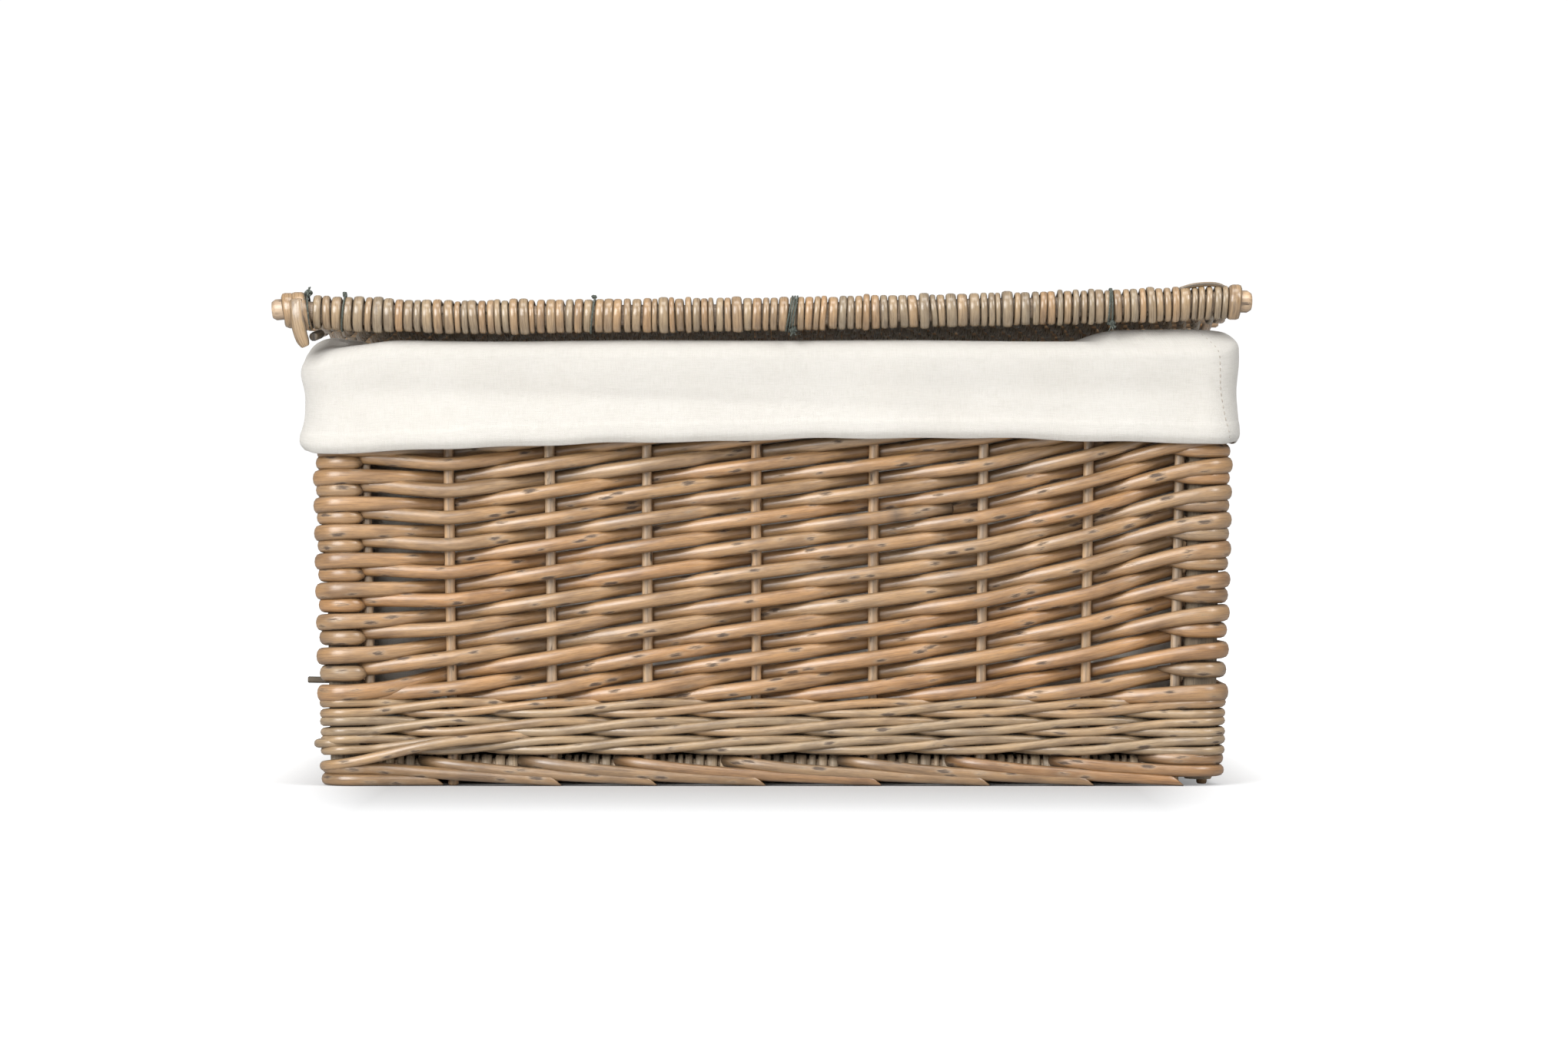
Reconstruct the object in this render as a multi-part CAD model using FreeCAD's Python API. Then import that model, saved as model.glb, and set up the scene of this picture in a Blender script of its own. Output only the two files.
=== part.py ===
import FreeCAD, Part
import math
import os

# A rectangular wicker storage basket: woven walls on stakes and corner posts, a foot of turned-down
# rods, a hinged square-work lid, and a cloth liner whose cuff folds out over the rim.
# Millimetres, Z up, front towards -Y. The origin is on the floor under the middle of the lid.

V = FreeCAD.Vector
UP = V(0, 0, 1)
ALONG_X = V(1, 0, 0)

# Overall sizes of the woven walls, which lean out from the floor to the rim
FOOT_LENGTH = 438.5
FOOT_DEPTH = 324.5
RIM_LENGTH = 447.0
RIM_DEPTH = 333.0
RIM_TOP = 214.2
BODY_SHIFT = 5.4  # the lid is hung this far to the left of the basket's middle

# Wall build-up, as insets from the outer face of the weave
STAKE_RADIUS = 2.5
STAKE_INSET = 9.2
POST_RADIUS = 7.4
POST_INSET = 13.3
CLEARANCE = 0.35
WEAVER_THICKNESS = 5.5
WEAVER_FLAT = 10.0  # length of weaver that lies straight where it crosses a stake
WRAP_THICKNESS = 5.1  # radial thickness of a weaver where it goes round a corner post

# Heights of the weave's zones
WALE_BOTTOM = 15.4
WALE_PITCH = 4.45
WALE_LAYERS = 6
ROW_BOTTOM = 42.3
ROW_PITCH = 7.35
ROW_COUNT = 21
LAYER_GAP = 0.3
BORDER_BOTTOM = 204.5

# Where the stakes stand along each wall, from its middle, at half height
FRONT_STAKES = (-197, -157, -108, -61, -8, 49, 102, 153, 197)
SIDE_STAKES = (-140, -94, -47, 0, 47, 94, 140)
STAKES = {
    "front": FRONT_STAKES,
    "right": SIDE_STAKES,
    "back": tuple(-place for place in reversed(FRONT_STAKES)),
    "left": SIDE_STAKES,
}
SIDE_TURN = {"front": 0, "right": 90, "back": 180, "left": 270}
CORNERS = {
    "front_left": (-1, -1),
    "front_right": (1, -1),
    "back_right": (1, 1),
    "back_left": (-1, 1),
}
DIAGONAL = {"front_left": 225, "front_right": 315, "back_right": 45, "back_left": 135}
STAKE_FOOT_Z = 1.0

# Foot of slanting rods: each passes three stakes, and drops one level from stake to stake
FOOT_ROD_RADIUS = 2.1
FOOT_ROD_INSET = 3.6
FOOT_LEVELS = (12.6, 7.6, 2.5)
FOOT_WRAP_HEIGHT = 6.4

# Base: sticks from left to right, and split bands woven front to back over and under them
BASE_STICK_RADIUS = 3.0
BASE_STICK_COUNT = 7
BASE_AXIS_Z = 9.8
BASE_INSET = 12.1
BASE_BAND_COUNT = 80
BASE_BAND_THICKNESS = 1.8
BAND_CLEARANCE = 0.3

# Lid
LID_LENGTH = 470.0
LID_DEPTH = 350.0
LID_AXIS_Z = 230.0
RAIL_RADIUS = 5.25
RAIL_WRAP_RADIUS = 8.25
LID_WRAP_LENGTH = 464.0
LID_STICK_RADIUS = 3.5
LID_STICK_COUNT = 7
LID_BAND_COUNT = 105
LID_BAND_THICKNESS = 2.3
BAND_FLAT = 6.0  # length of band that lies straight where it crosses a stick
BAND_END_ROOM = 4.0  # a band passes over or under a stick only if it runs this far beyond it
RAIL_Y = LID_DEPTH / 2 - RAIL_WRAP_RADIUS
LID_WEAVE_REACH = RAIL_Y - RAIL_WRAP_RADIUS - 0.3
KNOT_PLACES = (-219.0, -201.0, -81.0, 170.0)
KNOT_RADIUS = 1.5

# Hinge loops: bands of skein round the rim border and the lid's back rail
LOOP_PLACES = {"left": -120.0, "right": 120.0}
LOOP_HALF_WIDTH = 5.0
LOOP_THICKNESS = 2.2
LOOP_RIM_RADIUS = 8.6
LOOP_SLOT_HALF_WIDTH = 6.0
LOOP_SLOT_DEPTH = 6.0
CUFF_SLIT_HALF_WIDTH = 7.0

# Rim border
BORDER_OUTER_INSET = 1.0
BORDER_WIDTH = 16.0
BORDER_EDGE_RADIUS = 3.5

# Cloth liner
CLOTH = 1.5
LINER_HALF_LENGTH = FOOT_LENGTH / 2 - 18.0
LINER_HALF_DEPTH = FOOT_DEPTH / 2 - 18.0
LINER_CORNER_RADIUS = 14.0
LINER_FLOOR_Z = 15.6
CUFF_HALF_LENGTH = RIM_LENGTH / 2 + 2.5
CUFF_HALF_DEPTH = RIM_DEPTH / 2 + 2.5
CUFF_CORNER_RADIUS = 15.5
CUFF_TOP = 216.2
CUFF_BOTTOM = 165.0
SHARE_DEPTH = 80.0  # how far each side's share of a ring reaches in from the corner


def size_at(z):
    """Outer length and depth of the woven walls at a height."""
    share = z / RIM_TOP
    length = FOOT_LENGTH + share * (RIM_LENGTH - FOOT_LENGTH)
    depth = FOOT_DEPTH + share * (RIM_DEPTH - FOOT_DEPTH)
    return length, depth


def wall_length(side, z):
    length, depth = size_at(z)
    return length if side in ("front", "back") else depth


def on_wall(side, along, inset, z):
    """Point of a wall: along it from its middle, in from its outer face, at a height."""
    length, depth = size_at(z)
    across = depth if side in ("front", "back") else length
    point = FreeCAD.Rotation(UP, SIDE_TURN[side]).multVec(V(along, inset - across / 2, 0))
    return V(point.x + BODY_SHIFT, point.y, z)


def stake_place(side, place, z):
    """A stake's distance along its wall at a height: the stakes spread as the wall lengthens."""
    return place * wall_length(side, z) / wall_length(side, RIM_TOP / 2)


def rod(start, end, radius):
    """Straight round rod between two points."""
    line = end - start
    return Part.makeCylinder(radius, line.Length, start, line)


def slab(points, z, height):
    """Upright prism on a flat outline."""
    corners = [V(x, y, z) for x, y in points]
    face = Part.Face(Part.makePolygon(corners + corners[:1]))
    return face.extrude(V(0, 0, height))


def rounded_prism(half_length, half_depth, radius, bottom, top):
    """Upright prism with rounded corners, centred on the basket."""
    corner = V(BODY_SHIFT - half_length, -half_depth, bottom)
    block = Part.makeBox(2 * half_length, 2 * half_depth, top - bottom, corner)
    upright = [e for e in block.Edges if abs(e.tangentAt(e.FirstParameter).z) > 0.5]
    return block.makeFillet(radius, upright)


def save(node, solids):
    """One STEP file for a node; pieces of one kind stay separate solids in it."""
    shape = solids[0] if len(solids) == 1 else Part.makeCompound(solids)
    shape.exportStep(f"parts/{node}.step")


# Posts, stakes and weave


def post_centre(corner, z):
    length, depth = size_at(z)
    to_x, to_y = CORNERS[corner]
    return V(BODY_SHIFT + to_x * (length / 2 - POST_INSET), to_y * (depth / 2 - POST_INSET), z)


def corner_post(corner):
    """Stout round stick from the floor to the rim, cut level at both ends."""
    top = RIM_TOP - 0.7
    low = post_centre(corner, -2.0)
    high = post_centre(corner, top + 2.0)
    stick = rod(low, high, POST_RADIUS)
    level = Part.makeBox(40, 40, top, V(low.x - 20, low.y - 20, 0))
    return stick.common(level)


def stake(side, place):
    low = on_wall(side, stake_place(side, place, STAKE_FOOT_Z), STAKE_INSET, STAKE_FOOT_Z)
    top = BORDER_BOTTOM - 0.5
    high = on_wall(side, stake_place(side, place, top), STAKE_INSET, top)
    return rod(low, high, STAKE_RADIUS)


def wrap_arc(end, length, radius, outward):
    """Points of a weaver round a corner post, in wall places; end is -1 or 1, towards that end."""
    angles = (46.0, 60.0, 75.0, 90.0)
    if not outward:
        angles = tuple(reversed(angles))
    centre = length / 2 - POST_INSET
    points = []
    for angle in angles:
        turn = math.radians(angle)
        along = end * (centre + radius * math.cos(turn))
        points.append((along, POST_INSET - radius * math.sin(turn)))
    return points


def weaver(side, z, height, outside, wraps_corners):
    """One course of a wall: it passes outside some stakes and behind the others."""
    middle = z + height / 2
    length = wall_length(side, middle)
    front_line = []
    back_line = []
    for place, is_outside in zip(STAKES[side], outside):
        if is_outside:
            back = STAKE_INSET - STAKE_RADIUS - CLEARANCE
            front = back - WEAVER_THICKNESS
        else:
            front = STAKE_INSET + STAKE_RADIUS + CLEARANCE
            back = front + WEAVER_THICKNESS
        at = stake_place(side, place, middle)
        near_corner = abs(place) == max(STAKES[side])
        flat = STAKE_RADIUS if near_corner else WEAVER_FLAT / 2
        for step in (-flat, flat):
            front_line.append((at + step, front))
            back_line.append((at + step, back))
    if wraps_corners:
        inner = POST_RADIUS + CLEARANCE
        outer = inner + WRAP_THICKNESS
        front_line = wrap_arc(-1, length, outer, True) + front_line + wrap_arc(1, length, outer, False)
        back_line = wrap_arc(-1, length, inner, True) + back_line + wrap_arc(1, length, inner, False)
    outline = front_line + back_line[::-1]
    points = [on_wall(side, along, inset, middle) for along, inset in outline]
    return slab([(p.x, p.y) for p in points], z, height)


def siding_row(side, row):
    """Single weaver: odd rows dive behind the stake beside the corner post and end there."""
    starts_outside = row % 2 == 0
    outside = [(number % 2 == 0) == starts_outside for number in range(len(STAKES[side]))]
    z = ROW_BOTTOM + row * ROW_PITCH
    return weaver(side, z, ROW_PITCH - LAYER_GAP, outside, starts_outside)


def wale_layer(side, layer):
    """Three-rod wale: each rod passes outside two stakes and behind the third."""
    last = len(STAKES[side]) - 1
    outside = [n in (0, last) or (n + layer) % 3 != 0 for n in range(last + 1)]
    z = WALE_BOTTOM + layer * WALE_PITCH
    return weaver(side, z, WALE_PITCH - LAYER_GAP, outside, True)


def corner_wrap(corner, z, height):
    """A weaver's turn round the outside of a corner post."""
    centre = post_centre(corner, z + height / 2)
    inner = POST_RADIUS + CLEARANCE
    outer = inner + WRAP_THICKNESS
    half_sweep = 70.0
    steps = 10
    angles = [DIAGONAL[corner] - half_sweep + 2 * half_sweep * n / steps for n in range(steps + 1)]
    outline = []
    for radius, turns in ((outer, angles), (inner, angles[::-1])):
        for angle in turns:
            turn = math.radians(angle)
            outline.append((centre.x + radius * math.cos(turn), centre.y + radius * math.sin(turn)))
    return slab(outline, z, height)


def corner_wraps(corner):
    """All turns of one corner that belong to no full course: foot, odd rows and rim."""
    wraps = [corner_wrap(corner, 1.0 + n * (FOOT_WRAP_HEIGHT + LAYER_GAP), FOOT_WRAP_HEIGHT) for n in (0, 1)]
    for row in range(1, ROW_COUNT, 2):
        wraps.append(corner_wrap(corner, ROW_BOTTOM + row * ROW_PITCH, ROW_PITCH - LAYER_GAP))
    wraps.append(corner_wrap(corner, BORDER_BOTTOM, RIM_TOP - 0.7 - BORDER_BOTTOM))
    return wraps


def foot_rod(side, first):
    """Slanting rod of the foot: it comes out high at one stake and ends, cut, low at the next but one."""
    places = STAKES[side]
    points = []
    for step, z in enumerate(FOOT_LEVELS):
        if 0 <= first + step < len(places):
            points.append(on_wall(side, stake_place(side, places[first + step], 0), FOOT_ROD_INSET, z))
    return rod(points[0], points[-1], FOOT_ROD_RADIUS)


def rim_border(side):
    """Rolled border of stake ends along a wall's top, between two corner posts."""
    z = (BORDER_BOTTOM + RIM_TOP) / 2
    half = wall_length(side, z) / 2 - POST_INSET - POST_RADIUS - 0.6
    outline = [
        on_wall(side, along, inset, z)
        for along, inset in (
            (-half, BORDER_OUTER_INSET),
            (half, BORDER_OUTER_INSET),
            (half, BORDER_OUTER_INSET + BORDER_WIDTH),
            (-half, BORDER_OUTER_INSET + BORDER_WIDTH),
        )
    ]
    bar = slab([(p.x, p.y) for p in outline], BORDER_BOTTOM, RIM_TOP - BORDER_BOTTOM)
    long_edges = [e for e in bar.Edges if e.Length > 1.9 * half]
    return bar.makeFillet(BORDER_EDGE_RADIUS, long_edges)


# Base


def base_stick_places():
    reach = FOOT_DEPTH / 2 - BASE_INSET - 2.0 - BASE_STICK_RADIUS
    return [-reach + 2 * reach * n / (BASE_STICK_COUNT - 1) for n in range(BASE_STICK_COUNT)]


def base_stick(y):
    half = FOOT_LENGTH / 2 - POST_INSET - POST_RADIUS - 1.2
    return rod(V(BODY_SHIFT - half, y, BASE_AXIS_Z), V(BODY_SHIFT + half, y, BASE_AXIS_Z), BASE_STICK_RADIUS)


def band_strip(x, width, sticks, crossing, thickness, axis_z, start_y, end_y, starts_over):
    """Band of split willow from front to back, over and under the sticks in turn."""
    top_line = [(start_y, thickness / 2)]
    under_line = [(start_y, -thickness / 2)]
    for number, y in enumerate(sticks):
        if not start_y + BAND_END_ROOM < y < end_y - BAND_END_ROOM:
            continue
        over = (number % 2 == 0) == starts_over
        low = crossing if over else -crossing - thickness
        for step in (-BAND_FLAT / 2, BAND_FLAT / 2):
            top_line.append((y + step, low + thickness))
            under_line.append((y + step, low))
    top_line.append((end_y, thickness / 2))
    under_line.append((end_y, -thickness / 2))
    corners = [V(x - width / 2, y, axis_z + z) for y, z in top_line + under_line[::-1]]
    return Part.Face(Part.makePolygon(corners + corners[:1])).extrude(V(width, 0, 0))


def base_bands():
    half_x = FOOT_LENGTH / 2 - BASE_INSET
    half_y = FOOT_DEPTH / 2 - BASE_INSET
    beside_post = FOOT_LENGTH / 2 - POST_INSET - POST_RADIUS - 1.0
    short_y = FOOT_DEPTH / 2 - POST_INSET - POST_RADIUS - 0.6
    pitch = 2 * half_x / BASE_BAND_COUNT
    bands = []
    for number in range(BASE_BAND_COUNT):
        x = -half_x + pitch * (number + 0.5)
        reach = half_y if abs(x) + pitch / 2 < beside_post else short_y
        bands.append(
            band_strip(
                BODY_SHIFT + x,
                pitch - BAND_CLEARANCE,
                base_stick_places(),
                BASE_STICK_RADIUS + BAND_CLEARANCE,
                BASE_BAND_THICKNESS,
                BASE_AXIS_Z,
                -reach,
                reach,
                number % 2 == 0,
            )
        )
    return bands


# Cloth liner


def side_share(side, half_length, half_depth):
    """Region of one side of a ring: a trapezium whose slanting ends lie on the corners' diagonals."""
    turned = side in ("right", "left")
    half_along = half_depth if turned else half_length
    half_across = half_length if turned else half_depth
    gap = 0.15
    margin = 30.0
    outer = half_along + margin - gap
    inner = half_along - SHARE_DEPTH - gap
    far = -(half_across + margin)
    near = -(half_across - SHARE_DEPTH)
    outline = []
    for along, across in ((-outer, far), (outer, far), (inner, near), (-inner, near)):
        point = FreeCAD.Rotation(UP, SIDE_TURN[side]).multVec(V(along, across, 0))
        outline.append((point.x + BODY_SHIFT, point.y))
    return slab(outline, 0, RIM_TOP + 40)


def liner_wall_ring():
    top = CUFF_TOP - CLOTH - 0.3
    outer = rounded_prism(LINER_HALF_LENGTH, LINER_HALF_DEPTH, LINER_CORNER_RADIUS, LINER_FLOOR_Z, top)
    inner = rounded_prism(
        LINER_HALF_LENGTH - CLOTH,
        LINER_HALF_DEPTH - CLOTH,
        LINER_CORNER_RADIUS - CLOTH,
        LINER_FLOOR_Z - 1,
        top + 1,
    )
    return outer.cut(inner)


def liner_floor():
    reach = CLOTH + 0.3
    return rounded_prism(
        LINER_HALF_LENGTH - reach,
        LINER_HALF_DEPTH - reach,
        LINER_CORNER_RADIUS - reach,
        LINER_FLOOR_Z,
        LINER_FLOOR_Z + CLOTH,
    )


def cuff_ring():
    """The liner's fold over the rim and the cuff that hangs down outside it."""
    outer = rounded_prism(CUFF_HALF_LENGTH, CUFF_HALF_DEPTH, CUFF_CORNER_RADIUS, CUFF_BOTTOM, CUFF_TOP)
    under = rounded_prism(
        CUFF_HALF_LENGTH - CLOTH,
        CUFF_HALF_DEPTH - CLOTH,
        CUFF_CORNER_RADIUS - CLOTH,
        CUFF_BOTTOM - 1,
        CUFF_TOP - CLOTH,
    )
    mouth = rounded_prism(
        LINER_HALF_LENGTH - CLOTH,
        LINER_HALF_DEPTH - CLOTH,
        LINER_CORNER_RADIUS - CLOTH,
        CUFF_BOTTOM - 1,
        CUFF_TOP + 1,
    )
    return outer.cut(under).cut(mouth)


def split_back_cuff(cuff):
    """The back cuff is slit at each hinge loop, which leaves three flaps."""
    for x in LOOP_PLACES.values():
        slit = Part.makeBox(
            2 * CUFF_SLIT_HALF_WIDTH,
            CUFF_HALF_DEPTH,
            CUFF_TOP,
            V(x - CUFF_SLIT_HALF_WIDTH, 60.0, CUFF_BOTTOM - 5),
        )
        cuff = cuff.cut(slit)
    return sorted(cuff.Solids, key=lambda flap: flap.CenterOfMass.x)


# Lid and hinge


def belt(radius_at_rail, radius_at_rim, x_from, x_to):
    """Solid inside a taut loop round the back rail and the rim border."""
    rail = (RAIL_Y, LID_AXIS_Z)
    rim = (RIM_DEPTH / 2 - BORDER_OUTER_INSET - BORDER_WIDTH / 2, (BORDER_BOTTOM + RIM_TOP) / 2)
    away = (rim[0] - rail[0], rim[1] - rail[1])
    distance = math.hypot(away[0], away[1])
    heading = math.atan2(away[1], away[0])
    lean = math.acos((radius_at_rail - radius_at_rim) / distance)
    outline = []
    for centre, radius, turn in (
        (rail, radius_at_rail, heading + lean),
        (rim, radius_at_rim, heading + lean),
        (rim, radius_at_rim, heading - lean),
        (rail, radius_at_rail, heading - lean),
    ):
        outline.append(
            V(x_from, centre[0] + radius * math.cos(turn), centre[1] + radius * math.sin(turn))
        )
    width = x_to - x_from
    filling = Part.Face(Part.makePolygon(outline + outline[:1])).extrude(V(width, 0, 0))
    rail_end = Part.makeCylinder(radius_at_rail, width, V(x_from, rail[0], rail[1]), ALONG_X)
    rim_end = Part.makeCylinder(radius_at_rim, width, V(x_from, rim[0], rim[1]), ALONG_X)
    return filling.fuse([rail_end, rim_end]).removeSplitter()


def hinge_loop(x):
    inner_rail = RAIL_RADIUS + CLEARANCE
    outer = belt(
        inner_rail + LOOP_THICKNESS,
        LOOP_RIM_RADIUS + LOOP_THICKNESS,
        x - LOOP_HALF_WIDTH,
        x + LOOP_HALF_WIDTH,
    )
    inner = belt(inner_rail, LOOP_RIM_RADIUS, x - LOOP_HALF_WIDTH - 1, x + LOOP_HALF_WIDTH + 1)
    return outer.cut(inner).Solids[0]


def lid_rod(y, radius, length):
    return rod(V(-length / 2, y, LID_AXIS_Z), V(length / 2, y, LID_AXIS_Z), radius)


def lid_stick_places():
    pitch = 2 * RAIL_Y / (LID_STICK_COUNT + 1)
    return [-RAIL_Y + pitch * (n + 1) for n in range(LID_STICK_COUNT)]


def lid_bands():
    """The lid's weave between its rails; bands at the hinge loops end short of the back rail."""
    pitch = LID_WRAP_LENGTH / LID_BAND_COUNT
    bands = []
    for number in range(LID_BAND_COUNT):
        x = -LID_WRAP_LENGTH / 2 + pitch * (number + 0.5)
        at_loop = any(abs(x - place) < LOOP_SLOT_HALF_WIDTH + pitch / 2 for place in LOOP_PLACES.values())
        bands.append(
            band_strip(
                x,
                pitch - BAND_CLEARANCE,
                lid_stick_places(),
                LID_STICK_RADIUS + BAND_CLEARANCE,
                LID_BAND_THICKNESS,
                LID_AXIS_Z,
                -LID_WEAVE_REACH,
                LID_WEAVE_REACH - LOOP_SLOT_DEPTH if at_loop else LID_WEAVE_REACH,
                number % 2 == 0,
            )
        )
    return bands


def rail_wrap(y, x_from, x_to):
    """Sleeve of wrapped skein round a stretch of a lid rail."""
    start = V(x_from, y, LID_AXIS_Z)
    sleeve = Part.makeCylinder(RAIL_WRAP_RADIUS, x_to - x_from, start, ALONG_X)
    core = Part.makeCylinder(RAIL_RADIUS + CLEARANCE, x_to - x_from + 2, start - ALONG_X, ALONG_X)
    return sleeve.cut(core)


def twine_knot(x):
    lean = math.radians(110)
    reach = RAIL_WRAP_RADIUS + KNOT_RADIUS + 0.1
    centre = V(x, -RAIL_Y + reach * math.cos(lean), LID_AXIS_Z + reach * math.sin(lean))
    return Part.makeSphere(KNOT_RADIUS, centre)


def make_walls():
    for corner in CORNERS:
        save(f"corner_post_{corner}", [corner_post(corner)])
        save(f"corner_wraps_{corner}", corner_wraps(corner))
    for side, places in STAKES.items():
        save(f"stakes_{side}", [stake(side, place) for place in places])
        save(f"wale_{side}", [wale_layer(side, n) for n in range(WALE_LAYERS)])
        save(f"siding_{side}", [siding_row(side, n) for n in range(ROW_COUNT)])
        save(f"foot_rods_{side}", [foot_rod(side, n) for n in range(-1, len(places) - 1)])
        save(f"rim_border_{side}", [rim_border(side)])


def make_base():
    save("base_sticks", [base_stick(y) for y in base_stick_places()])
    save("base_bands", base_bands())


def make_liner():
    walls = liner_wall_ring()
    cuffs = cuff_ring()
    save("liner_floor", [liner_floor()])
    for side in STAKES:
        wall_region = side_share(side, LINER_HALF_LENGTH, LINER_HALF_DEPTH)
        save(f"liner_wall_{side}", walls.common(wall_region).Solids)
        cuff = cuffs.common(side_share(side, CUFF_HALF_LENGTH, CUFF_HALF_DEPTH))
        if side != "back":
            save(f"liner_cuff_{side}", cuff.Solids)
            continue
        for name, flap in zip(("left", "middle", "right"), split_back_cuff(cuff)):
            save(f"liner_cuff_back_{name}", [flap])


def make_lid():
    save("lid_front_rail", [lid_rod(-RAIL_Y, RAIL_RADIUS, LID_LENGTH)])
    save("lid_back_rail", [lid_rod(RAIL_Y, RAIL_RADIUS, LID_LENGTH)])
    save("lid_sticks", [lid_rod(y, LID_STICK_RADIUS, LID_LENGTH - 2) for y in lid_stick_places()])
    save("lid_bands", lid_bands())
    half = LID_WRAP_LENGTH / 2
    save("lid_front_wrap", [rail_wrap(-RAIL_Y, -half, half)])
    inner_edge = LOOP_PLACES["right"] - LOOP_SLOT_HALF_WIDTH
    outer_edge = LOOP_PLACES["right"] + LOOP_SLOT_HALF_WIDTH
    save("lid_back_wrap_left", [rail_wrap(RAIL_Y, -half, -outer_edge)])
    save("lid_back_wrap_middle", [rail_wrap(RAIL_Y, -inner_edge, inner_edge)])
    save("lid_back_wrap_right", [rail_wrap(RAIL_Y, outer_edge, half)])
    save("lid_twine_knots", [twine_knot(x) for x in KNOT_PLACES])


def make_hinges():
    for name, x in LOOP_PLACES.items():
        save(f"hinge_loop_{name}", [hinge_loop(x)])


os.makedirs("parts", exist_ok=True)
make_walls()
make_base()
make_liner()
make_lid()
make_hinges()
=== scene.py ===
import math

import bpy
import numpy as np
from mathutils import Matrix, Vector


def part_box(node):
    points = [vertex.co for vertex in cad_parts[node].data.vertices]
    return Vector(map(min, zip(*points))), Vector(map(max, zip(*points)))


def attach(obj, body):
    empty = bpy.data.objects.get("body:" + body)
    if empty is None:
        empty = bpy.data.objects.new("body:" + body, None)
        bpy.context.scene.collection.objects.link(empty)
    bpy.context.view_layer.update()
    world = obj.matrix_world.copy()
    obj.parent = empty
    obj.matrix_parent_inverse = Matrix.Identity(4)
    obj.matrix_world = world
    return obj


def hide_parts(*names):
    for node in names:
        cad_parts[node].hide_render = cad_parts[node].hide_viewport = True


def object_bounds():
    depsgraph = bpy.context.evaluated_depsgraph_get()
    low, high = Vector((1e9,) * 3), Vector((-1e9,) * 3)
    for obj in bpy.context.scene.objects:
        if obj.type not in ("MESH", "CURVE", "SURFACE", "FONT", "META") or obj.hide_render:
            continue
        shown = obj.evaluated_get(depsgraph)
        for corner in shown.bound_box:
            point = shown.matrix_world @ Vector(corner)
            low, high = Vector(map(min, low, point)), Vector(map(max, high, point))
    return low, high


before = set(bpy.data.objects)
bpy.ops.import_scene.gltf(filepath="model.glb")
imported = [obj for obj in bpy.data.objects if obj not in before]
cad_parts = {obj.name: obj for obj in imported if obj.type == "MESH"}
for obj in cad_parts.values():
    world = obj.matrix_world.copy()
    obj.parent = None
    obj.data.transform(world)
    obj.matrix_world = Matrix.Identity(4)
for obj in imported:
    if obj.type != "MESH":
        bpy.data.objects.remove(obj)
cad_low, cad_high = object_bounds()

# Willow rods, bands and cloth are worked out in millimetres and turned into metres when a mesh is made.
MM = 0.001
UP = np.array([0.0, 0.0, 1.0])
RIGHT = np.array([1.0, 0.0, 0.0])

# Walls in the order that the weavers travel: left to right along the front, then on round the basket
SIDES = ("front", "right", "back", "left")
NORMALS = {
    "front": np.array([0.0, -1.0, 0.0]),
    "right": np.array([1.0, 0.0, 0.0]),
    "back": np.array([0.0, 1.0, 0.0]),
    "left": np.array([-1.0, 0.0, 0.0]),
}
CORNER_AFTER = {"front": "front_right", "right": "back_right", "back": "back_left", "left": "front_left"}

# Uprights
STAKE_RADIUS = 2.5
POST_RADIUS = 8.1
POST_OUTWARD = (1.2, 0.3)  # how far the posts stand out from the CAD posts' lines, along x and y
POST_FEET = {"front_left": 2.5, "front_right": 6.0, "back_right": 2.5, "back_left": 2.5}
FRONT_LEFT_POST_TOP = 206.0  # below the cuff's rounded corner

# Siding
OUTSIDE = 5.3  # a weaver's centreline, out from the plane of the stakes
INSIDE = -4.9
BUTT_RADIUS = 3.72
TAPER_PER_ROW = 0.018
DEPTH_SHARE = 0.84  # a weaver is pressed a little flat against the stakes
SIDING_LOWEST = 41.5
SIDING_HIGHEST = 200.0
MOST_ROWS = 24
LONG_TURN_RADIUS = 13.3
TURN_RADIUS_UNDER_CUFF = 10.8
SHORT_TURN_RADIUS = 11.2
# Height of row r: base + climb * r + spread * (1 - exp(-r / 5)), so the lowest rows stand further apart
MIDDLE_ROWS = (47.3, 6.45, 5.75)
CORNER_ROWS = {
    "front_left": (45.2, 6.36, 17.2),
    "front_right": (45.6, 6.2, 25.5),
    "back_right": (45.4, 6.3, 20.0),
    "back_left": (45.3, 6.35, 19.0),
}

# Wall, stake and row at which one weaver ends and the next begins
JOIN_PLACE = ("front", 5, 12)

# Round the basket: stations are stakes, with the two beside a corner post counted as one
STATIONS = 28
STAKE_PITCH = 50.0

# Wale, foot and base
WALE_RADIUS = 2.32
WALE_OUT = 4.9  # a wale rod's centreline, out from the plane of the stakes or behind it
WALE_TURN_RADIUS = 12.6
WALE_LOWEST = 17.4
WALE_ROUND = 9.0  # from one round up to the next
WALE_LIFT = 4.9  # how far a rod climbs within its round
WALE_ROUNDS = 3
FOOT_RADIUS = 2.9
FOOT_TURN_RADIUS = 12.4
FOOT_TURNS = {  # heights of the lower and the upper rod that turn round each post
    "front_left": (3.0, 8.4),
    "front_right": (7.4, 13.2),
    "back_right": (4.8, 10.8),
    "back_left": (4.0, 10.2),
}
BASE_BAND_WIDTH = 5.0

# Lid
LID_BANDS = 105
BAND_HALF_THICKNESS = 1.25
LOOP_CLEARANCE = 6.5  # half the width that a hinge loop keeps free of bands

# Cloth liner
CLOTH = 0.9
CUFF_HEM = 166.0
CUFF_TOP = 208.2  # the cuff's face ends here and the fold over the rim begins
FOLD_RADIUS = 8.0
FOLD_TOP = CUFF_TOP + FOLD_RADIUS
INNER_FOLD_RADIUS = 4.0
CUFF_CORNER = 15.5  # corner radius of the cuff, seen from above
WALL_CORNER = 14.0
CUFF_ROWS = 34
SLIT_HALF_WIDTH = 7.0


def pieces_seed(name):
    """Seed for a piece's own random numbers, made from its name."""
    return sum(ord(letter) * (place + 1) for place, letter in enumerate(name))


# Meshes


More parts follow.
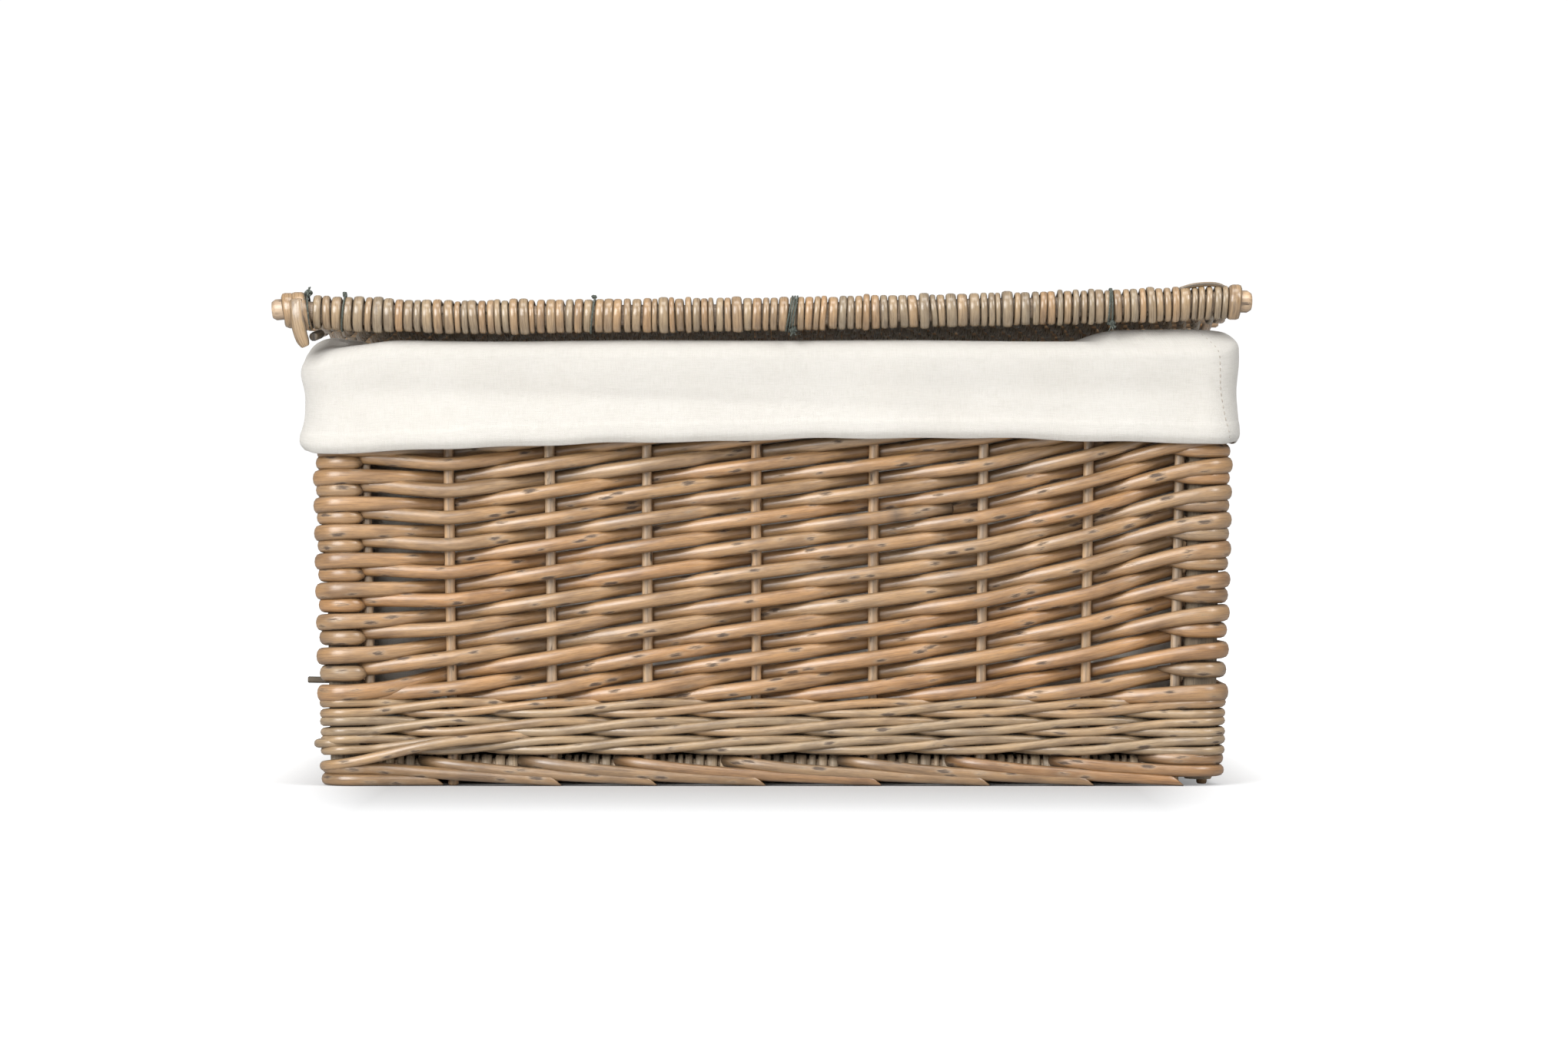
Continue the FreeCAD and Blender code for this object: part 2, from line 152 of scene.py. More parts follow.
def mesh_object(name, verts, quads, caps):
    """Object from points in millimetres, smooth quads and flat end caps of equal size."""
    mesh = bpy.data.meshes.new(name)
    loops = np.concatenate([np.asarray(quads).ravel(), np.asarray(caps).ravel()]).astype(np.int32)
    totals = [4] * len(quads) + [len(cap) for cap in caps]
    starts = np.concatenate([[0], np.cumsum(totals)[:-1]]).astype(np.int32)
    mesh.vertices.add(len(verts))
    mesh.vertices.foreach_set("co", (np.asarray(verts) * MM).astype(np.float32).ravel())
    mesh.loops.add(len(loops))
    mesh.loops.foreach_set("vertex_index", loops)
    mesh.polygons.add(len(totals))
    mesh.polygons.foreach_set("loop_start", starts)
    mesh.update(calc_edges=True)
    smooth = np.ones(len(totals), bool)
    smooth[len(quads):] = False
    mesh.polygons.foreach_set("use_smooth", smooth)
    obj = bpy.data.objects.new(name, mesh)
    bpy.context.scene.collection.objects.link(obj)
    return obj


def add_attribute(obj, name, kind, values, domain="POINT"):
    attribute = obj.data.attributes.new(name, kind, domain)
    field = "vector" if kind == "FLOAT_VECTOR" else "value"
    attribute.data.foreach_set(field, np.asarray(values, np.float32).ravel())


def unit(vectors):
    return vectors / np.maximum(np.linalg.norm(vectors, axis=-1, keepdims=True), 1e-9)


def facing(path):
    """Direction that lies in the plane across the lid or base, at a right angle to a path."""
    return np.cross(RIGHT, np.gradient(path, axis=0))


def soften(path, passes=2):
    """Rounds a path's corners without moving its ends."""
    path = np.array(path, float)
    for _ in range(passes):
        path[1:-1] = (path[:-2] + 2 * path[1:-1] + path[2:]) / 4
    return path


class Rods:
    """Rods or bands swept along their centrelines and gathered into one mesh."""

    def __init__(self, name, around=12):
        self.name = name
        self.around = around
        self.rng = np.random.default_rng(pieces_seed(name))
        self.verts = []
        self.quads = []
        self.caps = []
        self.coordinates = []
        self.ring = []
        self.tints = []
        self.count = 0

    def add(self, path, half_up, half_side, up=UP, power=2.0, tint=None, shade=0.0, start=None, slant=(0, 0)):
        """One rod, or a band if power is above 2.

        half_up and half_side are its section's half sizes, along up and across it. The value that darkens it
        mixes it towards its material's dark colour: painted shadow where it goes behind or under other rods,
        and its own dark marks, such as blackened cut ends. start is where its grain begins, and slant tilts
        its cut ends.
        """
        path = np.asarray(path, float)
        count = len(path)
        half_up = np.broadcast_to(half_up, count)
        half_side = np.broadcast_to(half_side, count)
        shade = np.broadcast_to(shade, count)
        tangent = unit(np.gradient(path, axis=0))
        up = np.broadcast_to(np.asarray(up, float), path.shape)
        raised = unit(up - (up * tangent).sum(1, keepdims=True) * tangent)
        across = np.cross(tangent, raised)
        run = np.concatenate([[0], np.cumsum(np.linalg.norm(np.diff(path, axis=0), axis=1))])
        bevel = 0.35 * np.minimum(half_up, half_side)
        index = np.concatenate([[0], np.arange(count), [count - 1]])
        scale = np.ones(count + 2)
        scale[[0, -1]] = 0.78
        push = np.zeros(count + 2)
        push[0] = -bevel[0]
        push[-1] = bevel[-1]
        turn = np.arange(self.around) * 2 * math.pi / self.around
        side_part = np.sign(np.cos(turn)) * np.abs(np.cos(turn)) ** (2 / power)
        up_part = np.sign(np.sin(turn)) * np.abs(np.sin(turn)) ** (2 / power)
        wide = (half_side[index] * scale)[:, None] * side_part
        tall = (half_up[index] * scale)[:, None] * up_part
        lean = np.zeros(count + 2)
        lean[:2] = slant[0]
        lean[-2:] = slant[1]
        forward = push[:, None] + lean[:, None] * tall
        points = (
            path[index][:, None]
            + across[index][:, None] * wide[..., None]
            + raised[index][:, None] * tall[..., None]
            + tangent[index][:, None] * forward[..., None]
        )
        rows = np.arange(count + 1)[:, None] * self.around
        here = np.arange(self.around)
        there = (here + 1) % self.around
        above = rows + self.around
        quads = np.stack([rows + here, rows + there, above + there, above + here], -1)
        self.verts.append(points.reshape(-1, 3))
        self.quads.append(quads.reshape(-1, 4) + self.count)
        first_cap = here[::-1] + self.count
        last_cap = here + self.count + (count + 1) * self.around
        self.caps += [first_cap, last_cap]
        begin = self.rng.uniform(0, 2000) if start is None else start
        along = np.broadcast_to((run[index] + begin)[:, None], wide.shape)
        self.coordinates.append(np.stack([along, wide, tall], -1).reshape(-1, 3) * MM)
        # Second ring value: painted shadow, and the rod's own dark marks
        dark = np.broadcast_to(shade[index][:, None], wide.shape)
        margin = np.broadcast_to(np.abs(side_part if power > 2 else up_part), wide.shape)
        self.ring.append(np.stack([margin, dark, np.zeros(wide.shape)], -1).reshape(-1, 3))
        tint = self.rng.uniform() if tint is None else tint
        self.tints.append(np.full(len(index) * self.around, tint))
        self.count += len(index) * self.around

    def build(self, material, body, slot, *nodes):
        obj = mesh_object(self.name, np.concatenate(self.verts), np.concatenate(self.quads), self.caps)
        add_attribute(obj, "rod_co", "FLOAT_VECTOR", np.concatenate(self.coordinates))
        add_attribute(obj, "rod_ring", "FLOAT_VECTOR", np.concatenate(self.ring))
        add_attribute(obj, "rod_tint", "FLOAT", np.concatenate(self.tints))
        obj.data.materials.append(material)
        settle(obj, body, slot, *nodes)
        return obj


def settle(obj, body, slot, *nodes):
    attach(obj, body)
    if nodes:
        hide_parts(*nodes)


# Uprights, read from the frame


class Upright:
    """Centreline of a stake or post, as a lower and an upper end in millimetres."""

    def __init__(self, points):
        ends = []
        for z in (points[:, 2].min(), points[:, 2].max()):
            ring = points[np.abs(points[:, 2] - z) < 1.5]
            ends.append((ring.min(0) + ring.max(0)) / 2)
        self.low, self.high = ends

    def at(self, z):
        share = (z - self.low[2]) / (self.high[2] - self.low[2])
        return self.low + (self.high - self.low) * share


def node_points(node):
    return np.array([v.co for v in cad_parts[node].data.vertices], float) / MM


def uprights(node, heading):
    points = node_points(node)
    places = points @ heading
    order = np.argsort(places)
    breaks = np.nonzero(np.diff(places[order]) > 8.0)[0] + 1
    return [Upright(points[group]) for group in np.split(order, breaks)]


HEADINGS = {side: np.cross(UP, NORMALS[side]) for side in SIDES}
STAKES = {side: uprights(f"stakes_{side}", HEADINGS[side]) for side in SIDES}
POSTS = {corner: Upright(node_points(f"corner_post_{corner}")) for corner in CORNER_AFTER.values()}


def next_side(side, step=1):
    """The wall after this one, or before it for a step of -1."""
    return SIDES[(SIDES.index(side) + step) % 4]


def beside_stake(side, number, shift, offset, z):
    """Point a few millimetres along the wall from a stake."""
    return STAKES[side][number].at(z) + HEADINGS[side] * shift + NORMALS[side] * offset


def turn_points(corner, side, radius, z_from, z_to, angle_from=0.0, angle_to=90.0, steps=10):
    """Arc round a corner post; angles are counted from the normal of the wall that ends there."""
    heading = math.atan2(NORMALS[side][1], NORMALS[side][0])
    points = []
    for step in range(steps + 1):
        share = step / steps
        z = z_from + (z_to - z_from) * share
        turn = heading + math.radians(angle_from + (angle_to - angle_from) * share)
        centre = POSTS[corner].at(z)
        points.append(centre + radius * np.array([math.cos(turn), math.sin(turn), 0]))
    return points


def blend_curve(first, second, count):
    """Ramp from one offset to another, without its first point, that stays longer at the outer one."""
    share = (np.arange(count) + 1) / count
    share = share ** 1.35 if first > second else 1 - (1 - share) ** 1.35
    return first + (second - first) * (1 - np.cos(share * math.pi)) / 2


# Materials


def add_node(tree, kind, inputs=(), **settings):
    """Adds a shader node; inputs are (name or number, value or socket) pairs."""
    made = tree.nodes.new(kind)
    for name, value in settings.items():
        setattr(made, name, value)
    for key, value in inputs:
        if isinstance(value, bpy.types.NodeSocket):
            tree.links.new(value, made.inputs[key])
        else:
            made.inputs[key].default_value = value
    return made


def ramp(tree, factor, stops):
    """Colour ramp node on a factor; stops are (position, colour) pairs."""
    made = add_node(tree, "ShaderNodeValToRGB", [("Fac", factor)])
    elements = made.color_ramp.elements
    while len(elements) < len(stops):
        elements.new(0.5)
    for element, (position, colour) in zip(elements, stops):
        element.position = position
        element.color = (*colour, 1.0)
    return made.outputs["Color"]


def mix(tree, factor, first, second, mode="MIX"):
    made = tree.nodes.new("ShaderNodeMix")
    made.data_type = "RGBA"
    made.blend_type = mode
    for key, value in ((0, factor), (6, first), (7, second)):
        if isinstance(value, bpy.types.NodeSocket):
            tree.links.new(value, made.inputs[key])
        else:
            made.inputs[key].default_value = value if key == 0 else (*value, 1.0)
    return made.outputs[2]


def calc(tree, operation, first, second=0.0, clamp=False):
    made = add_node(tree, "ShaderNodeMath", [(0, first), (1, second)], operation=operation, use_clamp=clamp)
    return made.outputs[0]


def attribute(tree, name, output="Vector"):
    return add_node(tree, "ShaderNodeAttribute", attribute_name=name).outputs[output]


def times(tree, first, second):
    return calc(tree, "MULTIPLY", first, second)


def plus(tree, first, second, clamp=False):
    return calc(tree, "ADD", first, second, clamp)


def minus(tree, first, second, clamp=False):
    return calc(tree, "SUBTRACT", first, second, clamp)


def stretched(tree, vector, scale):
    made = add_node(tree, "ShaderNodeVectorMath", [(0, vector), (1, scale)], operation="MULTIPLY")
    return made.outputs[0]


def split(tree, vector):
    return add_node(tree, "ShaderNodeSeparateXYZ", [(0, vector)]).outputs


def add_bump(tree, shader, height, strength, distance):
    inputs = [("Height", height), ("Strength", strength), ("Distance", distance)]
    tree.links.new(add_node(tree, "ShaderNodeBump", inputs).outputs[0], shader.inputs["Normal"])


def set_inputs(shader, values):
    for name, value in values.items():
        shader.inputs[name].default_value = value


def noise(tree, vector, scale, detail=2.0, roughness=0.5):
    inputs = [("Vector", stretched(tree, vector, scale)), ("Scale", 1.0)]
    inputs += [("Detail", detail), ("Roughness", roughness)]
    return add_node(tree, "ShaderNodeTexNoise", inputs).outputs["Fac"]


def new_material(name):
    material = bpy.data.materials.new(name)
    material.use_nodes = True
    tree = material.node_tree
    return material, tree, tree.nodes["Principled BSDF"]


def willow(name, light, warm, grey, dark, roughness=0.31, scars=1.0, edge_wash_and_painted_shade=1.0, gloss=1.0):
    """Antique-washed willow: streaks along the rod, blotches, bud scars, and darkening that is partly
    grey-brown colour washed into its hollows and partly painted shadow where rods touch or go behind others.
    """
    material, tree, shader = new_material(name)
    co = attribute(tree, "rod_co")
    ring = attribute(tree, "rod_ring")
    tint = attribute(tree, "rod_tint", "Fac")
    edge, deep = split(tree, ring)[:2]
    streaks = noise(tree, co, (70, 1500, 1500), 4, 0.65)
    grain = noise(tree, co, (260, 5200, 5200), 2, 0.6)
    blotches = noise(tree, co, (42, 130, 130), 3, 0.6)
    drift = noise(tree, co, (9, 30, 30), 1, 0.5)
    warmth = plus(tree, times(tree, tint, 0.6), times(tree, drift, 0.7))
    colour = ramp(tree, warmth, [(0.3, grey), (0.62, light), (0.95, warm)])
    patch = ramp(tree, blotches, [(0.36, (0.62, 0.6, 0.6)), (0.52, (1, 1, 1)), (0.72, (1.16, 1.12, 1.04))])
    colour = mix(tree, 0.75, colour, patch, "MULTIPLY")
    line = ramp(tree, streaks, [(0.34, (0.6, 0.56, 0.52)), (0.5, (1, 1, 1)), (0.7, (1.18, 1.16, 1.12))])
    colour = mix(tree, 0.75, colour, line, "MULTIPLY")
    fine = ramp(tree, grain, [(0.35, (0.74, 0.72, 0.7)), (0.6, (1.08, 1.08, 1.08))])
    colour = mix(tree, 0.6, colour, fine, "MULTIPLY")
    # Painted shadow and washed-in colour: the rod's top and bottom edges, or a band's side edges, darken
    # where neighbours touch; the second ring value adds painted shadow behind other rods and the rod's own
    # dark marks
    wash_marks_and_painted_shade = times(tree, calc(tree, "POWER", edge, 7.0), 0.6 * edge_wash_and_painted_shade)
    wash_marks_and_painted_shade = times(tree, wash_marks_and_painted_shade, plus(tree, blotches, 0.45))
    wash_marks_and_painted_shade = plus(tree, wash_marks_and_painted_shade, times(tree, deep, 0.65), True)
    colour = mix(tree, wash_marks_and_painted_shade, colour, dark)
    inputs = [("Vector", stretched(tree, co, (62, 210, 210))), ("Scale", 1.0), ("Randomness", 1.0)]
    spots = add_node(tree, "ShaderNodeTexVoronoi", inputs, feature="F1").outputs["Distance"]
    ragged = plus(tree, spots, times(tree, minus(tree, grain, 0.5), 0.55))
    ragged = plus(tree, ragged, times(tree, minus(tree, 0.6, blotches, True), 0.5))
    scar = times(tree, ramp(tree, ragged, [(0.15, (1, 1, 1)), (0.25, (0, 0, 0))]), scars)
    pale = ramp(tree, ragged, [(0.22, (1, 1, 1)), (0.38, (0, 0, 0))])
    colour = mix(tree, times(tree, pale, 0.25 * scars), colour, (0.5, 0.4, 0.28))
    colour = mix(tree, times(tree, scar, 0.9), colour, (0.06, 0.033, 0.018))
    tree.links.new(colour, shader.inputs["Base Color"])
    rough = plus(tree, times(tree, streaks, 0.22), roughness - 0.08)
    rough = plus(tree, rough, times(tree, scar, 0.4))
    rough = plus(tree, rough, times(tree, wash_marks_and_painted_shade, 0.3), True)
    tree.links.new(rough, shader.inputs["Roughness"])
    set_inputs(shader, {"Specular IOR Level": gloss})
    height = plus(tree, times(tree, streaks, 0.5), times(tree, blotches, 0.7))
    height = minus(tree, height, times(tree, scar, 0.5))
    add_bump(tree, shader, height, 0.4, 0.0004)
    return material


def calico(name):
    """Undyed cotton in plain weave, with slubs and a soft nap."""
    material, tree, shader = new_material(name)
    co = attribute(tree, "cloth_co")
    bent = stretched(tree, noise(tree, co, (120, 120, 120), 2, 0.5), (0.0012, 0.0012, 0))
    wavy = add_node(tree, "ShaderNodeVectorMath", [(0, co), (1, bent)], operation="ADD").outputs[0]
    along, across = split(tree, wavy)[:2]
    thread = 2 * math.pi / 0.00062  # one thread each way in every 0.62 mm
    warp = calc(tree, "SINE", times(tree, along, thread))
    weft = calc(tree, "SINE", times(tree, across, thread))
    weave = times(tree, warp, weft)
    slub = plus(tree, noise(tree, co, (2400, 140, 1), 2, 0.6), noise(tree, co, (140, 2400, 1), 2, 0.6))
    cloudy = noise(tree, co, (22, 22, 22), 3, 0.55)
    base = ramp(tree, cloudy, [(0.3, (0.655, 0.627, 0.58)), (0.65, (0.675, 0.651, 0.609))])
    slubs = ramp(tree, times(tree, slub, 0.5), [(0.35, (0.92, 0.915, 0.9)), (0.55, (1.02, 1.02, 1.02))])
    base = mix(tree, 0.9, base, slubs, "MULTIPLY")
    weft_tone = ramp(tree, weave, [(0.0, (0.97, 0.97, 0.965)), (0.6, (1.01, 1.01, 1.01))])
    base = mix(tree, 1.0, base, weft_tone, "MULTIPLY")
    fleck = noise(tree, co, (420, 260, 300), 3, 0.6)
    flecks = ramp(tree, fleck, [(0.2, (0.6, 0.52, 0.4)), (0.26, (1, 1, 1))])
    base = mix(tree, 0.6, base, flecks, "MULTIPLY")
    tree.links.new(base, shader.inputs["Base Color"])
    values = {"Roughness": 0.92, "Specular IOR Level": 0.25, "Sheen Weight": 0.25, "Sheen Roughness": 0.5}
    set_inputs(shader, values)
    add_bump(tree, shader, plus(tree, times(tree, weave, 0.35), times(tree, slub, 0.9)), 0.75, 0.0003)
    return material


def twine_material(name, colours):
    material, tree, shader = new_material(name)
    fibres = noise(tree, attribute(tree, "rod_co"), (900, 2600, 2600), 3, 0.6)
    colour = ramp(tree, fibres, list(zip((0.3, 0.6, 0.8), colours)))
    tree.links.new(colour, shader.inputs["Base Color"])
    set_inputs(shader, {"Roughness": 0.85})
    add_bump(tree, shader, fibres, 0.6, 0.0004)
    return material


SIDING_WOOD = willow(
    "siding willow",
    light=(0.385, 0.23, 0.108),
    warm=(0.405, 0.214, 0.085),
    grey=(0.35, 0.236, 0.134),
    dark=(0.046, 0.031, 0.02),
)
WALE_WOOD = willow(
    "wale willow",
    light=(0.385, 0.26, 0.142),
    warm=(0.41, 0.245, 0.115),
    grey=(0.345, 0.25, 0.15),
    dark=(0.042, 0.03, 0.02),
)
FOOT_WOOD = willow(
    "foot willow",
    light=(0.29, 0.173, 0.081),
    warm=(0.31, 0.162, 0.066),
    grey=(0.262, 0.169, 0.09),
    dark=(0.042, 0.029, 0.019),
)
# Painted light: the stakes' willow is made much lighter than the weavers' to make up for the shadow where the
# stakes stand back in the wall; the lid's rails and sticks share it
STAKE_WOOD_WITH_PAINTED_LIGHT = willow(
    "stake willow",
    light=(0.7, 0.475, 0.275),
    warm=(0.7, 0.445, 0.24),
    grey=(0.63, 0.455, 0.295),
    dark=(0.07, 0.05, 0.036),
)
POST_WOOD = willow(
    "post willow",
    light=(0.36, 0.29, 0.21),
    warm=(0.37, 0.29, 0.2),
    grey=(0.32, 0.27, 0.205),
    dark=(0.05, 0.042, 0.035),
    roughness=0.65,
    gloss=0.4,
)
SKEIN_WOOD = willow(
    "lid willow",
    light=(0.345, 0.245, 0.142),
    warm=(0.4, 0.243, 0.118),
    grey=(0.305, 0.236, 0.152),
    dark=(0.03, 0.022, 0.015),
    roughness=0.25,
    scars=0.5,
    edge_wash_and_painted_shade=1.7,
)
# Painted light: the base's willow is made much lighter than the walls' to make up for the shadow it lies in
# under the basket
BASE_WOOD_WITH_PAINTED_LIGHT = willow(
    "base willow",
    light=(0.66, 0.51, 0.34),
    warm=(0.68, 0.5, 0.32),
    grey=(0.6, 0.48, 0.34),
    dark=(0.035, 0.028, 0.02),
    roughness=0.5,
    scars=0.4,
)
COTTON = calico("calico")
COTTON_THREAD = twine_material("cotton thread", ((0.3, 0.25, 0.2), (0.46, 0.4, 0.34), (0.6, 0.55, 0.48)))
TWINE = twine_material("waxed twine", ((0.018, 0.021, 0.018), (0.1, 0.115, 0.095), (0.38, 0.4, 0.34)))


# Stakes and posts


def build_uprights():
    for side in SIDES:
        rods = Rods(f"willow_stakes_{side}")
        for stake in STAKES[side]:
            heights = np.linspace(stake.low[2], stake.high[2], 42)
            path = np.array([stake.at(z) for z in heights])
            path[1:-1, :2] += rods.rng.normal(0, 0.12, (40, 2))
            radius = STAKE_RADIUS + 0.12 * np.sin(heights / 19 + rods.rng.uniform(0, 6))
            rods.add(soften(path, 3), radius, radius, up=NORMALS[side])
        rods.build(STAKE_WOOD_WITH_PAINTED_LIGHT, "basket", "stake_rods", f"stakes_{side}")
    for corner, post in POSTS.items():
        rods = Rods(f"round_post_{corner}", around=28)
        top = FRONT_LEFT_POST_TOP if corner == "front_left" else post.high[2]
        heights = np.linspace(POST_FEET[corner], top, 60)
        path = np.array([post.at(z) for z in heights])
        for axis, shift in enumerate(POST_OUTWARD):
            path[:, axis] += shift * np.sign(path[:, axis])
        radius = POST_RADIUS + 0.12 * np.sin(heights / 23)
        rods.add(path, radius, radius, up=np.array([0, 1.0, 0]))
        rods.build(POST_WOOD, "basket", "corner_posts", f"corner_post_{corner}")


# Siding: weavers that climb one row from stake to stake, and pass outside even rows' stakes


def curve_height(rows, row):
    base, climb, spread = rows
    return base + climb * row + spread * (1 - math.exp(-row / 5))


def row_height(side, number, row):
    """Height of a row at a stake of a wall; the last stakes lean towards the corner's own spacing."""
    last = len(STAKES[side]) - 1
    if number == 0:
        return corner_height(CORNER_AFTER[next_side(side, -1)], row)
    if number == last:
        corner = corner_height(CORNER_AFTER[side], row)
        return max(corner - 0.2 * (corner - row_height(side, last - 1, row - 1)), SIDING_LOWEST)
    middle = curve_height(MIDDLE_ROWS, row)
    if number == last - 1:
        middle += 0.33 * (curve_height(CORNER_ROWS[CORNER_AFTER[side]], row) - middle)
    return max(middle, SIDING_LOWEST)


def corner_height(corner, row):
    return max(curve_height(CORNER_ROWS[corner], row), SIDING_LOWEST)


def weaver_radius(row, size):
    return (BUTT_RADIUS - TAPER_PER_ROW * max(row, 0)) * size


class Route:
    """A weaver's path, gathered stop by stop, with its row and how far it is flattened at each point."""

    def __init__(self):
        self.points = []
        self.offsets = []
        self.swells = []
        self.rows = []

    def reach(self, point, normal, offset, row, count=10):
        """Goes on from the last stop to this one in a soft wave."""
        if self.points:
            last_point, last_offset, last_row = self.stop
            shares = (np.arange(count) + 1) / count
            for share, wave in zip(shares, blend_curve(last_offset, offset, count)):
                self.points.append(last_point + (point - last_point) * share + normal * wave)
                self.offsets.append(wave)
                self.swells.append(1.0)
                self.rows.append(last_row + (row - last_row) * share)
        else:
            self.points.append(point + normal * offset)
            self.offsets.append(offset)
            self.swells.append(1.0)
            self.rows.append(row)
        self.stop = (point, offset, row)

    def follow(self, points, offset, row):
        """Takes over ready-made points, such as a turn round a post."""
        self.points += points
        self.offsets += [offset] * len(points)
        self.swells += [1.16] * len(points)
        self.rows += [row] * len(points)

    def jump(self, point, offset, row):
        """Sets the stop that the next reach starts from, without adding a point."""
        self.stop = (point, offset, row)


def draw_weaver(rods, route, size, tint, start):
    path = soften(route.points, 3)
    rows = np.array(route.rows)
    radius = np.array([weaver_radius(row, size) for row in rows])
    offsets = np.array(route.offsets)
    # Painted shadow: the weaver darkens where it goes deep behind a stake, and a little on its turns round a
    # post, which face the light more
    shade = np.clip((-3.0 - offsets) / 4.0, 0, 1) ** 1.5
    swell = soften(route.swells, 6)
    shade += 0.8 * (swell - 1)
    rods.add(path, radius * swell, radius * DEPTH_SHARE / swell, tint=tint, shade=shade, start=start)


def draw_join(rods, route, size, tint, start):
    """A pass where one weaver ends in a blackened cut and the next one takes over from beneath it."""
    path = soften(route.points, 3)
    places = np.arange(len(path))
    radius = np.array([weaver_radius(row, size) for row in route.rows])
    blackened = (7, 8, 9, 11, 12, 13, 14.5, 15.5, 16.5), (0, 0.5, 0, 0, 0.75, 0.1, 0.6, 0.15, 1)
    marks = np.interp(places, *blackened)
    rods.add(path[:18], radius[:18], radius[:18] * DEPTH_SHARE, tint=0.5, shade=marks[:18], start=start)
    under = path[15:] - UP * 0.4 - NORMALS["front"] * 0.8
    marks = np.interp(np.arange(len(under)), (0, 3, 4, 5), (0.1, 0.2, 0.9, 1))
    rods.add(under, radius[15:] * 0.95, radius[15:] * 0.8, tint=tint, shade=marks, start=start + 500)


def weaver_start(identity):
    """Random size, tint and grain start of a weaver that goes on from wall to wall."""
    rng = np.random.default_rng(1000 + identity)
    return rng.uniform(0.94, 1.05), rng.uniform(), rng.uniform(0, 3000)


def outside_pass(side, number, row, rng):
    """A weaver from behind one stake, outside the next and behind the one after that."""
    route = Route()
    for step, offset, rise in ((-1, INSIDE, -0.5), (0, OUTSIDE, None), (1, INSIDE, 0.9)):
        uneven = rng.normal(0, 0.35)
        z = row_height(side, number + step, row + step) + (uneven if rise is None else rise)
        z = min(z, SIDING_HIGHEST)
        route.reach(STAKES[side][number + step].at(z), NORMALS[side], offset, row + step)
    return route


def corner_pass(side, row):
    """A long turn: from behind the last stake but one, round the post, to behind the next wall's second."""
    corner = CORNER_AFTER[side]
    after = next_side(side)
    last = len(STAKES[side]) - 1
    low, near, middle, high = (
        row_height(side, last - 1, row - 1),
        row_height(side, last, row),
        corner_height(corner, row),
        row_height(after, 1, row + 1),
    )
    route = Route()
    route.reach(STAKES[side][last - 1].at(low), NORMALS[side], INSIDE, row - 1)
    route.reach(STAKES[side][last].at(near), NORMALS[side], OUTSIDE + 0.8, row)
    radius = LONG_TURN_RADIUS if middle < CUFF_HEM - 6 else TURN_RADIUS_UNDER_CUFF
    route.follow(turn_points(corner, side, radius, (near + middle) / 2, middle), OUTSIDE, row)
    route.jump(STAKES[after][0].at(middle) + HEADINGS[after] * 1.5, OUTSIDE + 0.8, row)
    route.reach(STAKES[after][1].at(high), NORMALS[after], INSIDE, row + 1)
    return route


def draw_short_turn(rods, side, row, size, tint, start):
    """A short turn: it comes out beside the last stake, goes round the post and in again, pointed."""
    corner = CORNER_AFTER[side]
    z = corner_height(corner, row)
    last = len(STAKES[side]) - 1
    lead = [
        beside_stake(side, last, -8.5, -1.5, z + 0.6),
        beside_stake(side, last, -5.0, 2.6, z + 0.3),
        beside_stake(side, last, -1.0, 4.9, z),
        beside_stake(side, last, 3.0, 5.6, z),
    ]
    arc = turn_points(corner, side, SHORT_TURN_RADIUS, z, z, 8, 142, 16)
    path = soften(lead + arc, 2)
    share = np.linspace(0, 1, len(path))
    pointed = np.minimum(1, np.minimum(0.25 + share * 4.5, 0.55 + (1 - share) * 4.0))
    radius = weaver_radius(row, size) * pointed
    # Painted shadow: the turn darkens towards both ends, where it goes in, and a little all along, since it
    # faces the light more
    shade = np.clip(0.75 - np.minimum(share * 5, (1 - share) * 7), 0.1, 0.75)
    rods.add(path, radius * 1.08, radius * DEPTH_SHARE, tint=tint, shade=shade, start=start)


def first_pass(side, row):
    """Where a weaver of an odd row sets out on a wall: from beside the post, over the first stakes."""
    route = Route()
    z = corner_height(CORNER_AFTER[next_side(side, -1)], row) + 2.6
    normal = NORMALS[side]
    route.reach(beside_stake(side, 0, -4.0, 0, z), normal, -0.5, row)
    route.reach(STAKES[side][0].at(z) + HEADINGS[side] * 1.0, normal, 3.6, row, 4)
    route.reach(STAKES[side][1].at(row_height(side, 1, row + 1)), normal, OUTSIDE, row + 1)
    route.reach(STAKES[side][2].at(row_height(side, 2, row + 2)), normal, INSIDE, row + 2)
    return route


def build_siding():
    walls = {side: Rods(f"willow_siding_{side}") for side in SIDES}
    turns = {corner: Rods(f"willow_turns_{corner}") for corner in CORNER_AFTER.values()}
    before = 0
    for side, rods in walls.items():
        last = len(STAKES[side]) - 1
        corner = CORNER_AFTER[side]
        long_turns = walls["front" if "front" in corner else "back"]
        for number in range(1, last + 1):
            for row in range(0, MOST_ROWS, 2):
                if row_height(side, number, row) > SIDING_HIGHEST:
                    break
                size, tint, start = weaver_start((row - number - before) % STATIONS)
                tint = 0.6 * tint + 0.5 * (1 - row / 22)
                place = start + STAKE_PITCH * (number + before)
                if number == last:
                    draw_weaver(long_turns, corner_pass(side, row), size, tint, place)
                elif number == 1:
                    draw_weaver(rods, first_pass(side, row - 1), size, tint, place)
                elif (side, number, row) == JOIN_PLACE:
                    draw_join(rods, outside_pass(side, number, row, rods.rng), size, tint, place)
                else:
                    draw_weaver(rods, outside_pass(side, number, row, rods.rng), size, tint, place)
        for row in range(1, MOST_ROWS, 2):
            if corner_height(corner, row) > SIDING_HIGHEST:
                break
            size, tint, start = weaver_start((row - last - before) % STATIONS)
            draw_short_turn(turns[corner], side, row, size, tint, start)
        before += last
    for side, rods in walls.items():
        rods.build(SIDING_WOOD, "basket", "siding_rods", f"siding_{side}")
    for corner, rods in turns.items():
        rods.build(SIDING_WOOD, "basket", "siding_rods", f"corner_wraps_{corner}")


# Wale: rounds of three thin rods, each outside two stakes and behind the third


